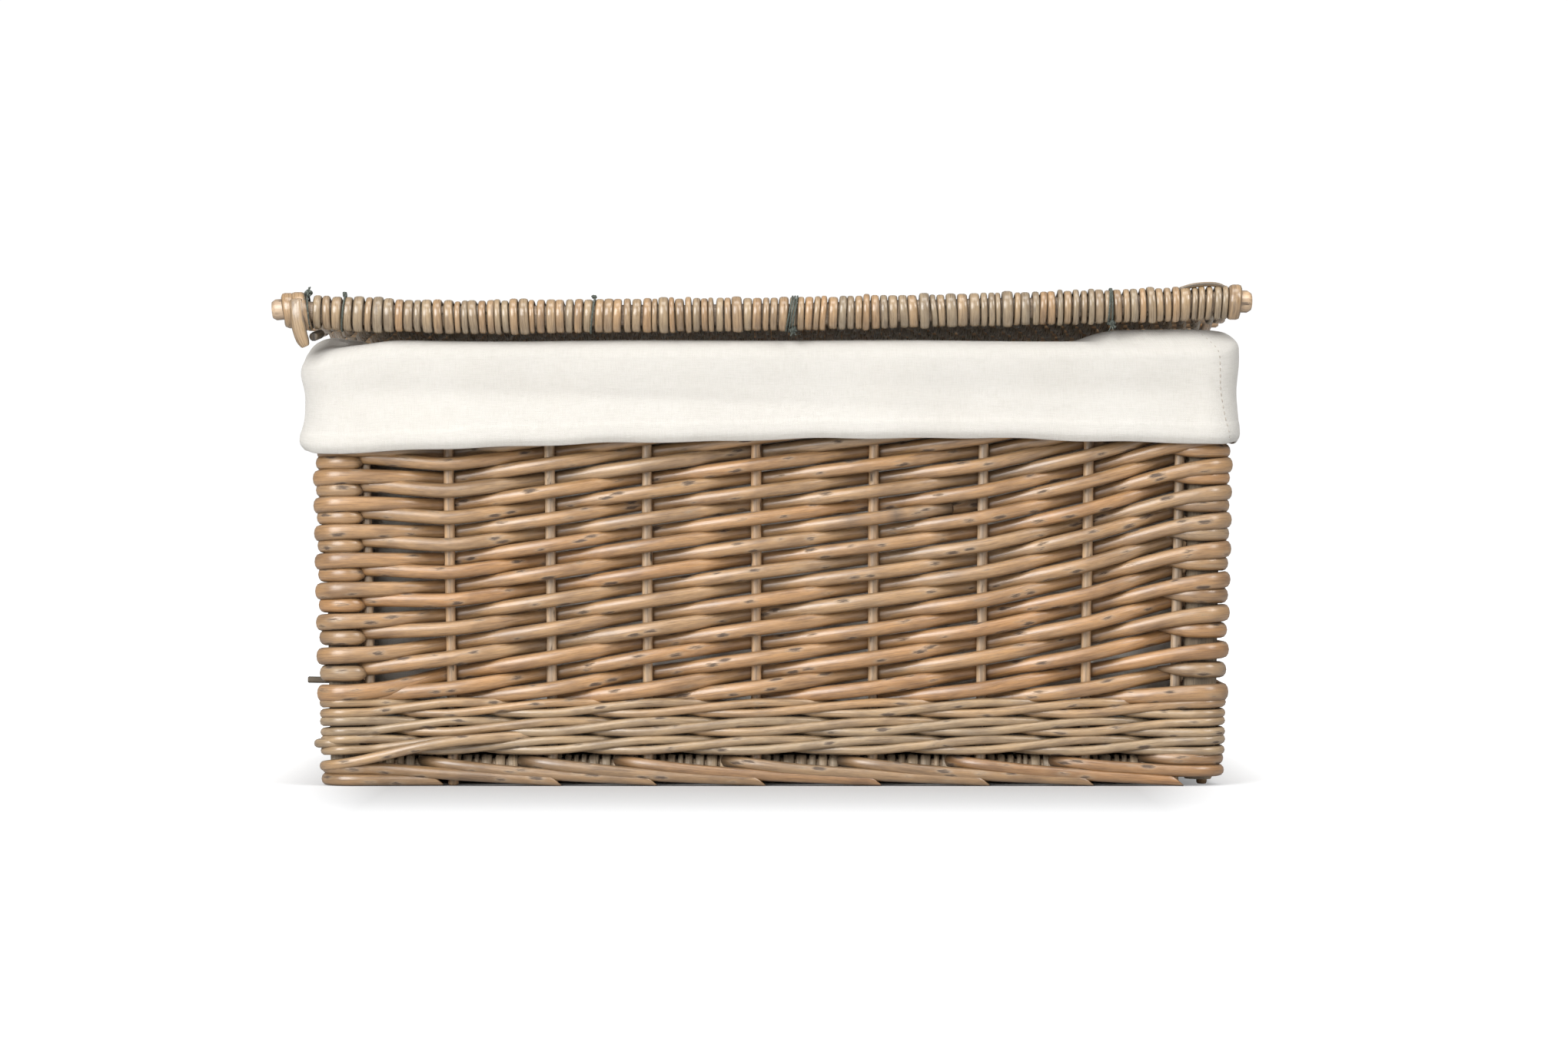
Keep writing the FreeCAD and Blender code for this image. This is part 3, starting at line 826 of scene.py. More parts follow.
def wale_stop(phase, round_base):
    """Offset and height of a wale rod at a stake: behind, then outside and low, then outside and high."""
    offset = -WALE_OUT if phase == 0 else WALE_OUT
    z = round_base + (0.5, 0.04, 0.96)[phase] * WALE_LIFT
    return offset, z


def wale_stops(phase_shift, round_base):
    """All stops of one wale rod round the basket: (side, stake number or None at a post, offset, z)."""
    stops = []
    station = 0
    for side in ("left", "front", "right", "back"):
        last = len(STAKES[side]) - 1
        for number in range(last + 1):
            offset, z = wale_stop((station - phase_shift) % 3, round_base)
            stops.append((side, number, offset, z))
            if number < last:
                station += 1
        stops.append((side, None, offset, z))
    return stops


def draw_wale_pass(rods, stops, tint, start):
    """One stretch of a wale rod, from behind a stake to behind the next that it dives behind."""
    route = Route()
    for side, number, offset, z in stops:
        if number is None:
            after = next_side(side)
            turn = turn_points(CORNER_AFTER[side], side, WALE_TURN_RADIUS, z, z)
            route.follow(turn, offset, 0)
            route.jump(STAKES[after][0].at(z), offset, 0)
            continue
        count = 3 if number == 0 else 10
        route.reach(STAKES[side][number].at(z), NORMALS[side], offset, 0, count)
    path = soften(route.points, 3)
    offsets = np.array(route.offsets)
    path[:, 2] += np.interp(np.arange(len(path)), (0, 5, len(path) - 6, len(path) - 1), (0, -1.2, 1.2, 0))
    # Painted shadow where the wale rod goes behind a stake
    shade = np.clip((1.0 - offsets) / 7.0, 0, 1)
    radius = WALE_RADIUS * rods.rng.uniform(0.94, 1.06)
    rods.add(path, radius, radius * 0.95, tint=tint, shade=shade, start=start)


def build_wale():
    walls = {side: Rods(f"willow_wale_{side}", around=10) for side in SIDES}
    for level in range(WALE_ROUNDS):
        for phase_shift in range(3):
            tint, start = weaver_start(200 + level * 3 + phase_shift)[1:]
            stops = wale_stops(phase_shift, WALE_LOWEST + level * WALE_ROUND)
            inside = [place for place, stop in enumerate(stops) if stop[1] is not None and stop[2] < 0]
            inside = [place - len(stops) for place in inside[-1:]] + inside
            for first, final in zip(inside, inside[1:]):
                stretch = [stops[place] for place in range(first, final + 1)]
                if all(stop[2] < 0 for stop in stretch):
                    continue
                corners = [stop[0] for stop in stretch if stop[1] is None]
                owner = stretch[1][0]
                if corners:
                    owner = "front" if "front" in CORNER_AFTER[corners[0]] else "back"
                draw_wale_pass(walls[owner], stretch, tint, start + 150 * first)
    for side, rods in walls.items():
        rods.build(WALE_WOOD, "basket", "wale_rods", f"wale_{side}")


# Foot: stout rods that come out under the wale, slant down to the right and end in a slanting cut


def foot_start(side, number, lift=0.0):
    """Where a foot rod comes out, just before a stake."""
    return [
        beside_stake(side, number, -15.0, -4.0, 12.0 + lift),
        beside_stake(side, number, -11.5, 2.0, 11.6 + lift),
        beside_stake(side, number, -6.0, 5.2, 10.9 + lift),
        beside_stake(side, number, 2.0, 6.2, 9.9 + lift),
        beside_stake(side, number, 22.0, 7.0, 7.6 + lift * 0.6),
    ]


def foot_end(side, number, z):
    """Where a foot rod passes one stake and ends in its cut just before the next."""
    return [beside_stake(side, number, 0.0, 6.8, z), beside_stake(side, number + 1, 1.0, 6.9, 2.75)]


def refine(points, spacing=4.0):
    """Even, softened samples along a few given points."""
    points = np.array(points, float)
    run = np.concatenate([[0], np.cumsum(np.linalg.norm(np.diff(points, axis=0), axis=1))])
    count = max(int(run[-1] / spacing), 3)
    places = np.linspace(0, run[-1], count + 1)
    path = np.stack([np.interp(places, run, points[:, axis]) for axis in range(3)], 1)
    return soften(path, 4)


def draw_foot_rod(rods, points):
    path = refine(points)
    size = rods.rng.uniform(0.94, 1.08)
    run = np.linspace(0, 1, len(path))
    radius = FOOT_RADIUS * size * (1.05 - 0.16 * run)
    # Painted shadow at the rod's start, where it comes out from under the wale
    shade = np.clip(0.8 - run * 9, 0, 0.8)
    rods.add(path, radius, radius * 0.9, shade=shade, slant=(0, -1.3))


def build_foot():
    walls = {side: Rods(f"willow_foot_{side}") for side in SIDES}
    for side, rods in walls.items():
        after = next_side(side)
        corner = CORNER_AFTER[side]
        last = len(STAKES[side]) - 1
        lower, upper = FOOT_TURNS[corner]
        for number in range(1, last - 1):
            draw_foot_rod(rods, foot_start(side, number) + foot_end(side, number + 1, 5.3))
        owner = walls["front" if "front" in corner else "back"]
        turn = turn_points(corner, side, FOOT_TURN_RADIUS, lower, lower)
        landing = [beside_stake(after, 0, 6.0, 6.0, lower), beside_stake(after, 1, -8.0, 5.0, 3.0)]
        lead = [*foot_start(side, last - 1)[:4], beside_stake(side, last, -4.0, 6.6, lower)]
        draw_foot_rod(owner, lead + turn + landing)
        turn = turn_points(corner, side, FOOT_TURN_RADIUS - 0.6, upper, upper)
        landing = [beside_stake(after, 0, 4.0, 5.4, upper), *foot_end(after, 1, (upper + 3.0) / 2)]
        draw_foot_rod(owner, foot_start(side, last, upper - 11.0)[:3] + turn + landing)
    for side, rods in walls.items():
        rods.build(FOOT_WOOD, "basket", "border_rods", f"foot_rods_{side}")


# Base


def ring_path(centre_y, centre_z, radius, angle_from, angle_to, steps):
    """Arc in the plane across the lid or base, as (y, z) pairs; 0 degrees points to the back."""
    turns = np.radians(np.linspace(angle_from, angle_to, steps + 1))
    return np.stack([centre_y + radius * np.cos(turns), centre_z + radius * np.sin(turns)], 1)


def band_line(sticks, crossing, middle_z, starts_over):
    """Over-and-under line of a band, as (y, z) pairs."""
    line = []
    for number, y in enumerate(sticks):
        sign = 1 if (number % 2 == 0) == starts_over else -1
        line += [(y - 3.0, middle_z + sign * crossing * 0.86), (y, middle_z + sign * crossing)]
        line.append((y + 3.0, middle_z + sign * crossing * 0.86))
    return np.array(line)


def stick_lines(node):
    """Centre (y, z) and radius of each rod of a node that runs from left to right."""
    points = node_points(node)
    order = np.argsort(points[:, 1])
    breaks = np.nonzero(np.diff(points[order, 1]) > 8.0)[0] + 1
    found = []
    for group in np.split(order, breaks):
        low, high = points[group].min(0), points[group].max(0)
        middle = (low + high) / 2
        found.append((middle[1], middle[2], (high[2] - low[2]) / 2, low[0], high[0]))
    return found


def band_edges(rng, count, left, right, spread):
    """Edges of bands of uneven width that fill a length."""
    widths = rng.uniform(1 - spread, 1 + spread, count)
    edges = np.concatenate([[0], np.cumsum(widths)])
    return left + edges / edges[-1] * (right - left)


def build_base():
    sticks = stick_lines("base_sticks")
    rods = Rods("willow_base_sticks")
    for y, z, radius, left, right in sticks:
        xs = np.linspace(left, right, 40)
        path = np.stack([xs, np.full(40, y), np.full(40, z)], 1)
        path[1:-1, 1:] += rods.rng.normal(0, 0.1, (38, 2))
        rods.add(soften(path, 2), radius, radius)
    rods.build(BASE_WOOD_WITH_PAINTED_LIGHT, "basket", "stake_rods", "base_sticks")
    low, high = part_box("base_bands")
    left, right = low.x / MM, high.x / MM
    bands = Rods("willow_base_bands", around=8)
    count = int((right - left) / BASE_BAND_WIDTH)
    edges = band_edges(bands.rng, count, left, right, 0.35)
    z = sticks[0][1]
    front, back = sticks[0], sticks[-1]
    reach = front[2] + 1.2
    for number in range(count):
        x = (edges[number] + edges[number + 1]) / 2
        half = (edges[number + 1] - edges[number]) / 2 - 0.6
        if abs(x - (left + right) / 2) > (right - left) / 2 - 14:
            half *= 0.9
        over = number % 2 == 0
        weave = band_line([stick[0] for stick in sticks[1:-1]], front[2] + 1.0, z, over)
        start = ring_path(front[0], z, reach, -20, -330, 12)
        finish = ring_path(back[0], z, reach, 190, -110, 12)
        line = np.concatenate([start, weave, finish])
        path = np.column_stack([np.full(len(line), x), line])
        across = -facing(path)
        path[:, 0] += rods.rng.uniform(-0.3, 0.3)
        bands.add(soften(path, 1), 0.95, half, up=across, power=4.0)
    bands.build(BASE_WOOD_WITH_PAINTED_LIGHT, "basket", "base_skein", "base_bands")


def build_rim_border():
    """Rolled border under the cuff: four rods that twist round each other."""
    for side in SIDES:
        node = f"rim_border_{side}"
        points = node_points(node)
        heading, normal = HEADINGS[side], NORMALS[side]
        along, out = points @ heading, points @ normal
        middle_out, middle_z = (out.min() + out.max()) / 2, (points[:, 2].min() + points[:, 2].max()) / 2
        rods = Rods(f"willow_border_{side}")
        places = np.linspace(along.min(), along.max(), 90)
        for strand in range(4):
            turn = places / 26 + strand * math.pi / 2
            base = heading * places[:, None] + normal * (middle_out + 4.6 * np.cos(turn))[:, None]
            path = base + UP * (middle_z + 1.6 * np.sin(turn))[:, None]
            rods.add(path, 2.7, 2.9, up=normal)
        rods.build(SIDING_WOOD, "basket", "border_rods", node)


# Lid


LID_RAILS = [stick_lines("lid_front_rail")[0], stick_lines("lid_back_rail")[0]]
LID_STICKS = stick_lines("lid_sticks")
LOOPS = [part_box(f"hinge_loop_{side}") for side in ("left", "right")]
LOOP_PLACES = [(low.x + high.x) / 2 / MM for low, high in LOOPS]


def lid_warp(x, y):
    """The lid's front edge isn't quite straight: it dips left of the middle and lifts at the right."""
    front = LID_RAILS[0][0]
    back = LID_RAILS[1][0]
    share = np.clip((back - y) / (back - front), 0, 1)
    return share * np.interp(x, (-235, -200, -146, 11, 124, 200, 235), (1.0, -1.0, -2.6, -1.0, 1.5, 3.6, 5.0))


def warped(path):
    path = np.array(path, float)
    path[:, 2] += lid_warp(path[:, 0], path[:, 1])
    return path


def lid_rod(rods, line, overhang=0.0, tint=None):
    y, z, radius, left, right = line
    xs = np.linspace(left - overhang, right + overhang, 90)
    path = np.stack([xs, np.full(90, y), np.full(90, z)], 1)
    path[1:-1, 1:] += soften(rods.rng.normal(0, 0.5, (88, 2)), 4)
    size = radius * (1 + 0.03 * np.sin(xs / 31 + rods.rng.uniform(0, 6)))
    rods.add(warped(path), size, size, tint=tint, shade=0.2)


def lid_band_line(starts_over, at_loop):
    """A band's (y, z) line across the lid: round the front rail, through the sticks, round the back rail."""
    (front_y, z, rail, _, _), (back_y, _, _, _, _) = LID_RAILS
    reach = rail + BAND_HALF_THICKNESS + 0.35
    crossing = LID_STICKS[0][2] + BAND_HALF_THICKNESS + 0.2
    start = ring_path(front_y, z, reach, -35, -300, 16)
    weave = band_line([stick[0] for stick in LID_STICKS], crossing, z, starts_over)
    if at_loop:
        finish = np.array([(back_y - 18, z + 0.5), (back_y - 13.5, z)])
    else:
        finish = ring_path(back_y, z, reach, 120, -145, 16)
    return np.concatenate([start, weave, finish])


def fill_in(line, spacing=4.0):
    """Adds points to the long stretches of a (y, z) line, on a soft curve between its own."""
    filled = [line[0]]
    for first, second in zip(line, line[1:]):
        count = max(int(np.linalg.norm(second - first) / spacing), 1)
        share = (1 - np.cos((np.arange(count) + 1) / count * math.pi)) / 2
        along = (np.arange(count) + 1) / count
        step = second - first
        filled += [first + np.array([step[0] * a, step[1] * b]) for a, b in zip(along, share)]
    return np.array(filled)


def draw_lid_band(rods, x, half, starts_over, at_loop):
    rng = rods.rng
    line = fill_in(lid_band_line(starts_over, at_loop))
    path = np.column_stack([np.full(len(line), x), line])
    wander = np.interp(np.arange(len(path)), np.linspace(0, len(path), 9), rng.normal(0, 0.28, 9))
    front = np.clip((12 - (path[:, 1] - LID_RAILS[0][0])) / 18, 0, 1)
    lean = 0.05 * math.sin(x / 17) + 0.04 * math.sin(x / 41 + 2) + rng.normal(0, 0.02)
    tilt = lean * (path[:, 2] - LID_RAILS[0][1]) * front
    path[:, 0] += wander + tilt
    swell = rng.choice((-0.2, 0.1, 0.4, 1.1), p=(0.25, 0.4, 0.22, 0.13)) * front
    centre = np.array([LID_RAILS[0][0], LID_RAILS[0][1]])
    outward = unit(path[:, 1:] - centre)
    path[:, 1:] += outward * swell[:, None]
    path = soften(path, 1)
    up = facing(path)
    thick = BAND_HALF_THICKNESS * rng.uniform(0.95, 1.25)
    size = half * (1 + 0.05 * np.sin(np.arange(len(path)) / 6 + rng.uniform(0, 6)))
    rods.add(warped(path), thick, size, up=up, power=2.7)


def build_lid():
    rails = Rods("lid_rail_rods", around=16)
    for line in LID_RAILS:
        lid_rod(rails, line, tint=0.0)
    rails.build(STAKE_WOOD_WITH_PAINTED_LIGHT, "lid", "stake_rods", "lid_front_rail", "lid_back_rail")
    sticks = Rods("lid_stick_rods", around=14)
    for line in LID_STICKS:
        lid_rod(sticks, line, sticks.rng.uniform(-3.5, 0.5))
    sticks.build(STAKE_WOOD_WITH_PAINTED_LIGHT, "lid", "stake_rods", "lid_sticks")
    low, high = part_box("lid_front_wrap")
    left, right = low.x / MM + 15.0, high.x / MM - 6.2
    names = ("left", "middle", "right")
    parts = [Rods(f"lid_weave_{name}", around=10) for name in names]
    edges = band_edges(parts[0].rng, LID_BANDS - 2, left, right, 0.3)
    for number, (start, end) in enumerate(zip(edges, edges[1:])):
        x = (start + end) / 2
        at_loop = any(abs(x - place) < LOOP_CLEARANCE + (end - start) / 2 for place in LOOP_PLACES)
        part = parts[0 if x < LOOP_PLACES[0] else 1 if x < LOOP_PLACES[1] else 2]
        draw_lid_band(part, x, (end - start) / 2 - 0.22, number % 2 == 0, at_loop)
    nodes = (
        ("lid_bands", "lid_front_wrap", "lid_back_wrap_left"),
        ("lid_back_wrap_middle",),
        ("lid_back_wrap_right",),
    )
    draw_left_end(parts[0], left)
    draw_right_end(parts[2], right)
    for part, stood_for in zip(parts, nodes):
        part.build(SKEIN_WOOD, "lid", "lid_skein", *stood_for)


def rail_ring(x, radius, angle_from, angle_to, lean, steps=18):
    """Points round the lid's front rail; lean shifts the turn sideways between its top and bottom."""
    turns = np.radians(np.linspace(angle_from, angle_to, steps + 1))
    y, z = LID_RAILS[0][:2]
    xs = x + lean * np.sin(turns)
    return np.stack([xs, y + radius * np.cos(turns), z + radius * np.sin(turns)], 1)


def broad_wrap(rods, x, radius, lean, half):
    wrap = rail_ring(x, radius, 40, -330, lean)
    rods.add(warped(wrap), 1.7, half, up=facing(wrap), power=3.0, tint=0.8)


def draw_left_end(rods, left):
    """Two broad turns; the second's end hangs down in front of the cuff's corner."""
    for place, radius, lean, half, over in ((-11.2, 6.9, -1.2, 3.1, True), (-5.4, 7.6, -1.9, 3.5, False)):
        draw_lid_band(rods, left + place, 2.6, over, False)
        broad_wrap(rods, left + place, radius, lean, half)
    centre_y = LID_RAILS[0][0]
    tail = [
        (left - 7.7, centre_y - 6.8, 235.0),
        (left - 7.4, centre_y - 8.3, 229.0),
        (left - 6.4, centre_y - 8.2, 222.0),
        (left - 5.0, centre_y - 7.4, 216.6),
        (left - 3.4, centre_y - 6.4, 213.4),
    ]
    path = refine(tail, 1.5)
    width = np.interp(np.linspace(0, 1, len(path)), (0, 0.6, 0.9, 1), (3.2, 3.5, 3.2, 2.3))
    rods.add(warped(path), 1.4, width, up=np.array([-0.1, -1.0, -0.25]), power=3.0, tint=0.6)
    # A stick end under the rail, darkened almost to the dark colour as painted shadow under the lid
    stick = refine([(left + 2.0, centre_y + 14.0, 220.0), (left + 0.2, centre_y - 1.5, 218.0)], 3.0)
    rods.add(warped(stick), 2.2, 2.2, tint=0.1, shade=0.95)


def draw_right_end(rods, right):
    """A broad last turn, and a band's end laid along the top of the turns before it."""
    draw_lid_band(rods, right + 3.0, 2.6, True, False)
    broad_wrap(rods, right + 3.2, 6.9, 0.6, 3.0)
    centre_y = LID_RAILS[0][0]
    end = [
        (right - 23.0, centre_y - 1.0, 237.2),
        (right - 17.5, centre_y - 1.5, 238.9),
        (right - 9.0, centre_y - 1.8, 239.3),
        (right - 3.5, centre_y - 1.2, 238.5),
        (right - 1.0, centre_y - 0.5, 236.4),
    ]
    rods.add(warped(refine(end, 1.5)), 1.1, 2.3, power=3.0, tint=0.4)


def draw_knot(rods, x, angle, strands, fray, size):
    """Twine tied round the front rail: turns, a lump where it is knotted, and short ends."""
    rng = rods.rng
    for strand in range(strands):
        turn = rail_ring(x + (strand - strands / 2) * 1.3, 8.5, 30, -330, rng.uniform(-1.8, 1.8), 26)
        rods.add(warped(turn), 0.5, 0.5, up=RIGHT)
    lump = rail_ring(x, 8.9 + size / 2, angle, angle + 1, 0, 1)[0]
    for _ in range(6):
        turns = np.linspace(0, 5.6, 14)
        axes = unit(rng.normal(0, 1, (2, 3)))
        reach = size * rng.uniform(0.7, 1.1)
        loop = lump + reach * (np.cos(turns)[:, None] * axes[0] + np.sin(turns)[:, None] * axes[1])
        rods.add(warped(loop), 0.55, 0.55, up=np.array([0.3, 0.5, 1.0]))
    for _ in range(fray):
        outward = lump[1:] - np.array(LID_RAILS[0][:2])
        away = unit(np.array([rng.normal(0, 0.6), *outward]) + 0.1)
        bend = rng.normal(0, 1.0, 3)
        shares = np.linspace(0, 1, 6)[:, None]
        end = lump + away * shares * rng.uniform(1.5, 2.2) * size + bend * shares ** 2
        rods.add(warped(end), 0.34, 0.34, up=np.array([1.0, 0.2, 0]))


def build_knots():
    rods = Rods("dark_twine_knots", around=6)
    low = LID_RAILS[0][3]
    for place, angle, strands, fray, size in (
        (16, 112, 2, 2, 1.5),
        (33.4, 98, 1, 0, 0.8),
        (154, 95, 1, 1, 0.7),
        (250.4, 238, 3, 7, 1.4),
        (404.5, 242, 2, 5, 1.1),
    ):
        draw_knot(rods, low + place, angle, strands, fray, size)
    rods.build(TWINE, "lid", "twine", "lid_twine_knots")


def belt_path(rail, rail_radius, rim, rim_radius):
    """Closed line of a loop pulled round two round things, as (y, z) pairs."""
    away = np.array(rim) - np.array(rail)
    distance = np.linalg.norm(away)
    heading = math.degrees(math.atan2(away[1], away[0]))
    lean = math.degrees(math.acos((rail_radius - rim_radius) / distance))
    upper = ring_path(*rail, rail_radius, heading + lean, heading + 360 - lean, 22)
    lower = ring_path(*rim, rim_radius, heading - lean, heading + lean, 22)
    return np.concatenate([upper, lower, upper[:2]])


def build_hinge_loops():
    low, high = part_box("rim_border_back")
    rim = ((low.y + high.y) / 2 / MM, (low.z + high.z) / 2 / MM)
    rail = (LID_RAILS[1][0], LID_RAILS[1][1])
    for name, place in zip(("left", "right"), LOOP_PLACES):
        rods = Rods(f"skein_loop_{name}", around=10)
        for turn, shift in enumerate((-3.3, 0.0, 3.3)):
            line = fill_in(belt_path(rail, 7.15 + 0.1 * turn, rim, 9.7 + 0.15 * turn), 3.0)
            path = np.column_stack([np.full(len(line), place + shift), line])
            path[:, 0] += rods.rng.normal(0, 0.15)
            rods.add(soften(path, 1), 0.95, 1.6, up=facing(path), power=3.2)
        rods.build(SKEIN_WOOD, "basket", "lid_skein", f"hinge_loop_{name}")


def build_corner_rods():
    """At the front left corner one rod rises out of the foot and another bulges out of the left wall."""
    rods = Rods("willow_rising_rods")
    last = len(STAKES["left"]) - 1
    rising = [beside_stake("left", last - 1, 18.0, 4.5, 7.5), beside_stake("left", last, -7.0, 8.0, 8.6)]
    rising += turn_points("front_left", "left", 13.4, 9.2, 11.0)
    for number, shift, offset, z in (
        (0, 5.0, 9.6, 14.6),
        (0, 24.0, 10.6, 19.2),
        (1, 0.0, 10.3, 21.8),
        (1, 22.0, 7.6, 23.6),
        (2, -8.0, 1.5, 24.8),
    ):
        rising.append(beside_stake("front", number, shift, offset, z))
    path = refine(rising)
    rods.add(path, 2.5, 2.3, tint=0.75)
    bulge = [beside_stake("left", last, -26.0, 4.0, 19.8), beside_stake("left", last, -12.0, 9.5, 20.0)]
    bulge += turn_points("front_left", "left", 16.0, 20.2, 20.8, 0, 45)
    bulge.append(beside_stake("front", 0, -6.0, 4.0, 21.0))
    rods.add(refine(bulge), 2.2, 2.2, tint=0.15)
    rods.build(WALE_WOOD, "basket", "wale_rods")


def build_stub():
    """Cut, dark end of a weaver that sticks out of the left wall beside the front post."""
    rods = Rods("dark_rod_end")
    start = STAKES["left"][-1].at(50.5) + np.array([6.0, 5.0, 0])
    rods.add(refine([start, start + np.array([-22.5, -1.0, 0.4])], 3.0), 1.6, 1.6, tint=0.1, shade=1.1)
    rods.build(POST_WOOD, "basket", "siding_rods")


# Cloth liner: one band of cotton that goes up the basket's inside, over the rim and down outside


def liner_sizes():
    lows, highs = zip(*(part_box(f"liner_cuff_{part}") for part in ("front", "left", "right", "back_middle")))
    low = np.min([list(corner) for corner in lows], 0) / MM
    high = np.max([list(corner) for corner in highs], 0) / MM
    wall_low, wall_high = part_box("liner_floor")
    centre = (low[0] + high[0]) / 2
    outer = np.array([(high[0] - low[0]) / 2, (high[1] - low[1]) / 2])
    inner = np.array([(wall_high.x - wall_low.x) / 2, (wall_high.y - wall_low.y) / 2]) / MM + 1.2
    return centre, outer, inner, wall_low.z / MM


LINER_CENTRE, CUFF_HALF, LINER_HALF, LINER_FLOOR = liner_sizes()


def outline_places():
    """Places round a rounded rectangle, as (side, share along it, angle in its corner)."""
    places = []
    for side in SIDES:
        straight = 150 if side in ("front", "back") else 110
        if side == "back":
            loop_edges = []
            for place in LOOP_PLACES:
                for edge in (-SLIT_HALF_WIDTH, SLIT_HALF_WIDTH):
                    loop_edges.append(-(place + edge - LINER_CENTRE) / (CUFF_HALF[0] - CUFF_CORNER))
            shares = np.linspace(-1, 1, straight)
            for edge in loop_edges:
                shares[np.argmin(np.abs(shares - edge))] = edge
        else:
            shares = np.linspace(-1, 1, straight)
        places += [(side, share, 0.0) for share in shares]
        places += [(side, 1.0, angle) for angle in np.linspace(0, 90, 12)[1:-1]]
    return places


PLACES = outline_places()
PLACE_SIDES = np.array([SIDES.index(place[0]) for place in PLACES])
PLACE_SHARES = np.array([place[1] for place in PLACES])
PLACE_TURNS = np.radians([place[2] for place in PLACES])


def outline(half, radius):
    """Points and outward normals of a rounded rectangle at all the liner's places."""
    normals = np.array([NORMALS[side] for side in SIDES])[PLACE_SIDES]
    headings = np.array([HEADINGS[side] for side in SIDES])[PLACE_SIDES]
    lengthwise = np.isin(PLACE_SIDES, (0, 2))
    along = np.where(lengthwise, half[0], half[1]) - radius
    out = np.where(lengthwise, half[1], half[0]) - radius
    centre = headings * (along * PLACE_SHARES)[:, None] + normals * out[:, None]
    direction = normals * np.cos(PLACE_TURNS)[:, None] + headings * np.sin(PLACE_TURNS)[:, None]
    points = centre + direction * radius
    points[:, 0] += LINER_CENTRE
    return points, direction


def liner_rows():
    """The cloth's profile from hem to floor, as (set back from the cuff's face, height, corner radius, zone).

    In the cuff, the height is a share of the way from the hem to the top.
    """
    rows = []
    for share in np.linspace(0, 1, CUFF_ROWS):
        rows.append((0.0, share, CUFF_CORNER, "cuff"))
    for angle in np.linspace(0, 90, 7)[1:]:
        turn = math.radians(angle)
        set_back = FOLD_RADIUS * (1 - math.cos(turn))
        rows.append((set_back, CUFF_TOP + FOLD_RADIUS * math.sin(turn), CUFF_CORNER, "fold"))
    gap = CUFF_HALF[0] - LINER_HALF[0]
    for share in (0.35, 0.55, 0.72):
        rows.append((gap * share + 3.0, FOLD_TOP + 0.2, 15.0, "fold"))
    for angle in np.linspace(90, 0, 6):
        turn = math.radians(angle)
        set_back = gap + INNER_FOLD_RADIUS * (math.cos(turn) - 1)
        height = FOLD_TOP + INNER_FOLD_RADIUS * (math.sin(turn) - 1)
        rows.append((set_back, height, WALL_CORNER, "fold"))
    for z in np.linspace(206, LINER_FLOOR + 1.0, 30):
        rows.append((gap, z, WALL_CORNER, "wall"))
    return rows


def waves(x, lengths, rng):
    """Smooth random undulation along a distance, as a sum of sines of about unit size."""
    total = np.zeros_like(x, dtype=float)
    for length in lengths:
        total += np.sin(x * 2 * math.pi / length + rng.uniform(0, 6.28)) * rng.uniform(0.6, 1.0)
    return total / len(lengths) ** 0.5


def hem_height(points):
    """The cuff hangs lower at its left than at its middle, and a little lower again at its right."""
    x = points[:, 0]
    front = np.interp(x, (-225, -145, -80, 0, 110, 180, 226), (161.2, 163.5, 166.2, 168, 169, 167, 165.2))
    back = np.interp(x, (-225, -60, 100, 226), (163.5, 167.5, 165.0, 166.5))
    share = np.clip((points[:, 1] + 169) / 338, 0, 1)
    round_corner = 3.0 * np.clip((-216 - x) / 8, 0, 1) + 1.5 * np.clip((x - 224) / 6, 0, 1)
    return front * (1 - share) + back * share + round_corner


def place_distance(points):
    steps = np.linalg.norm(np.diff(points, axis=0, append=points[:1]), axis=1)
    return np.concatenate([[0], np.cumsum(steps)[:-1]])


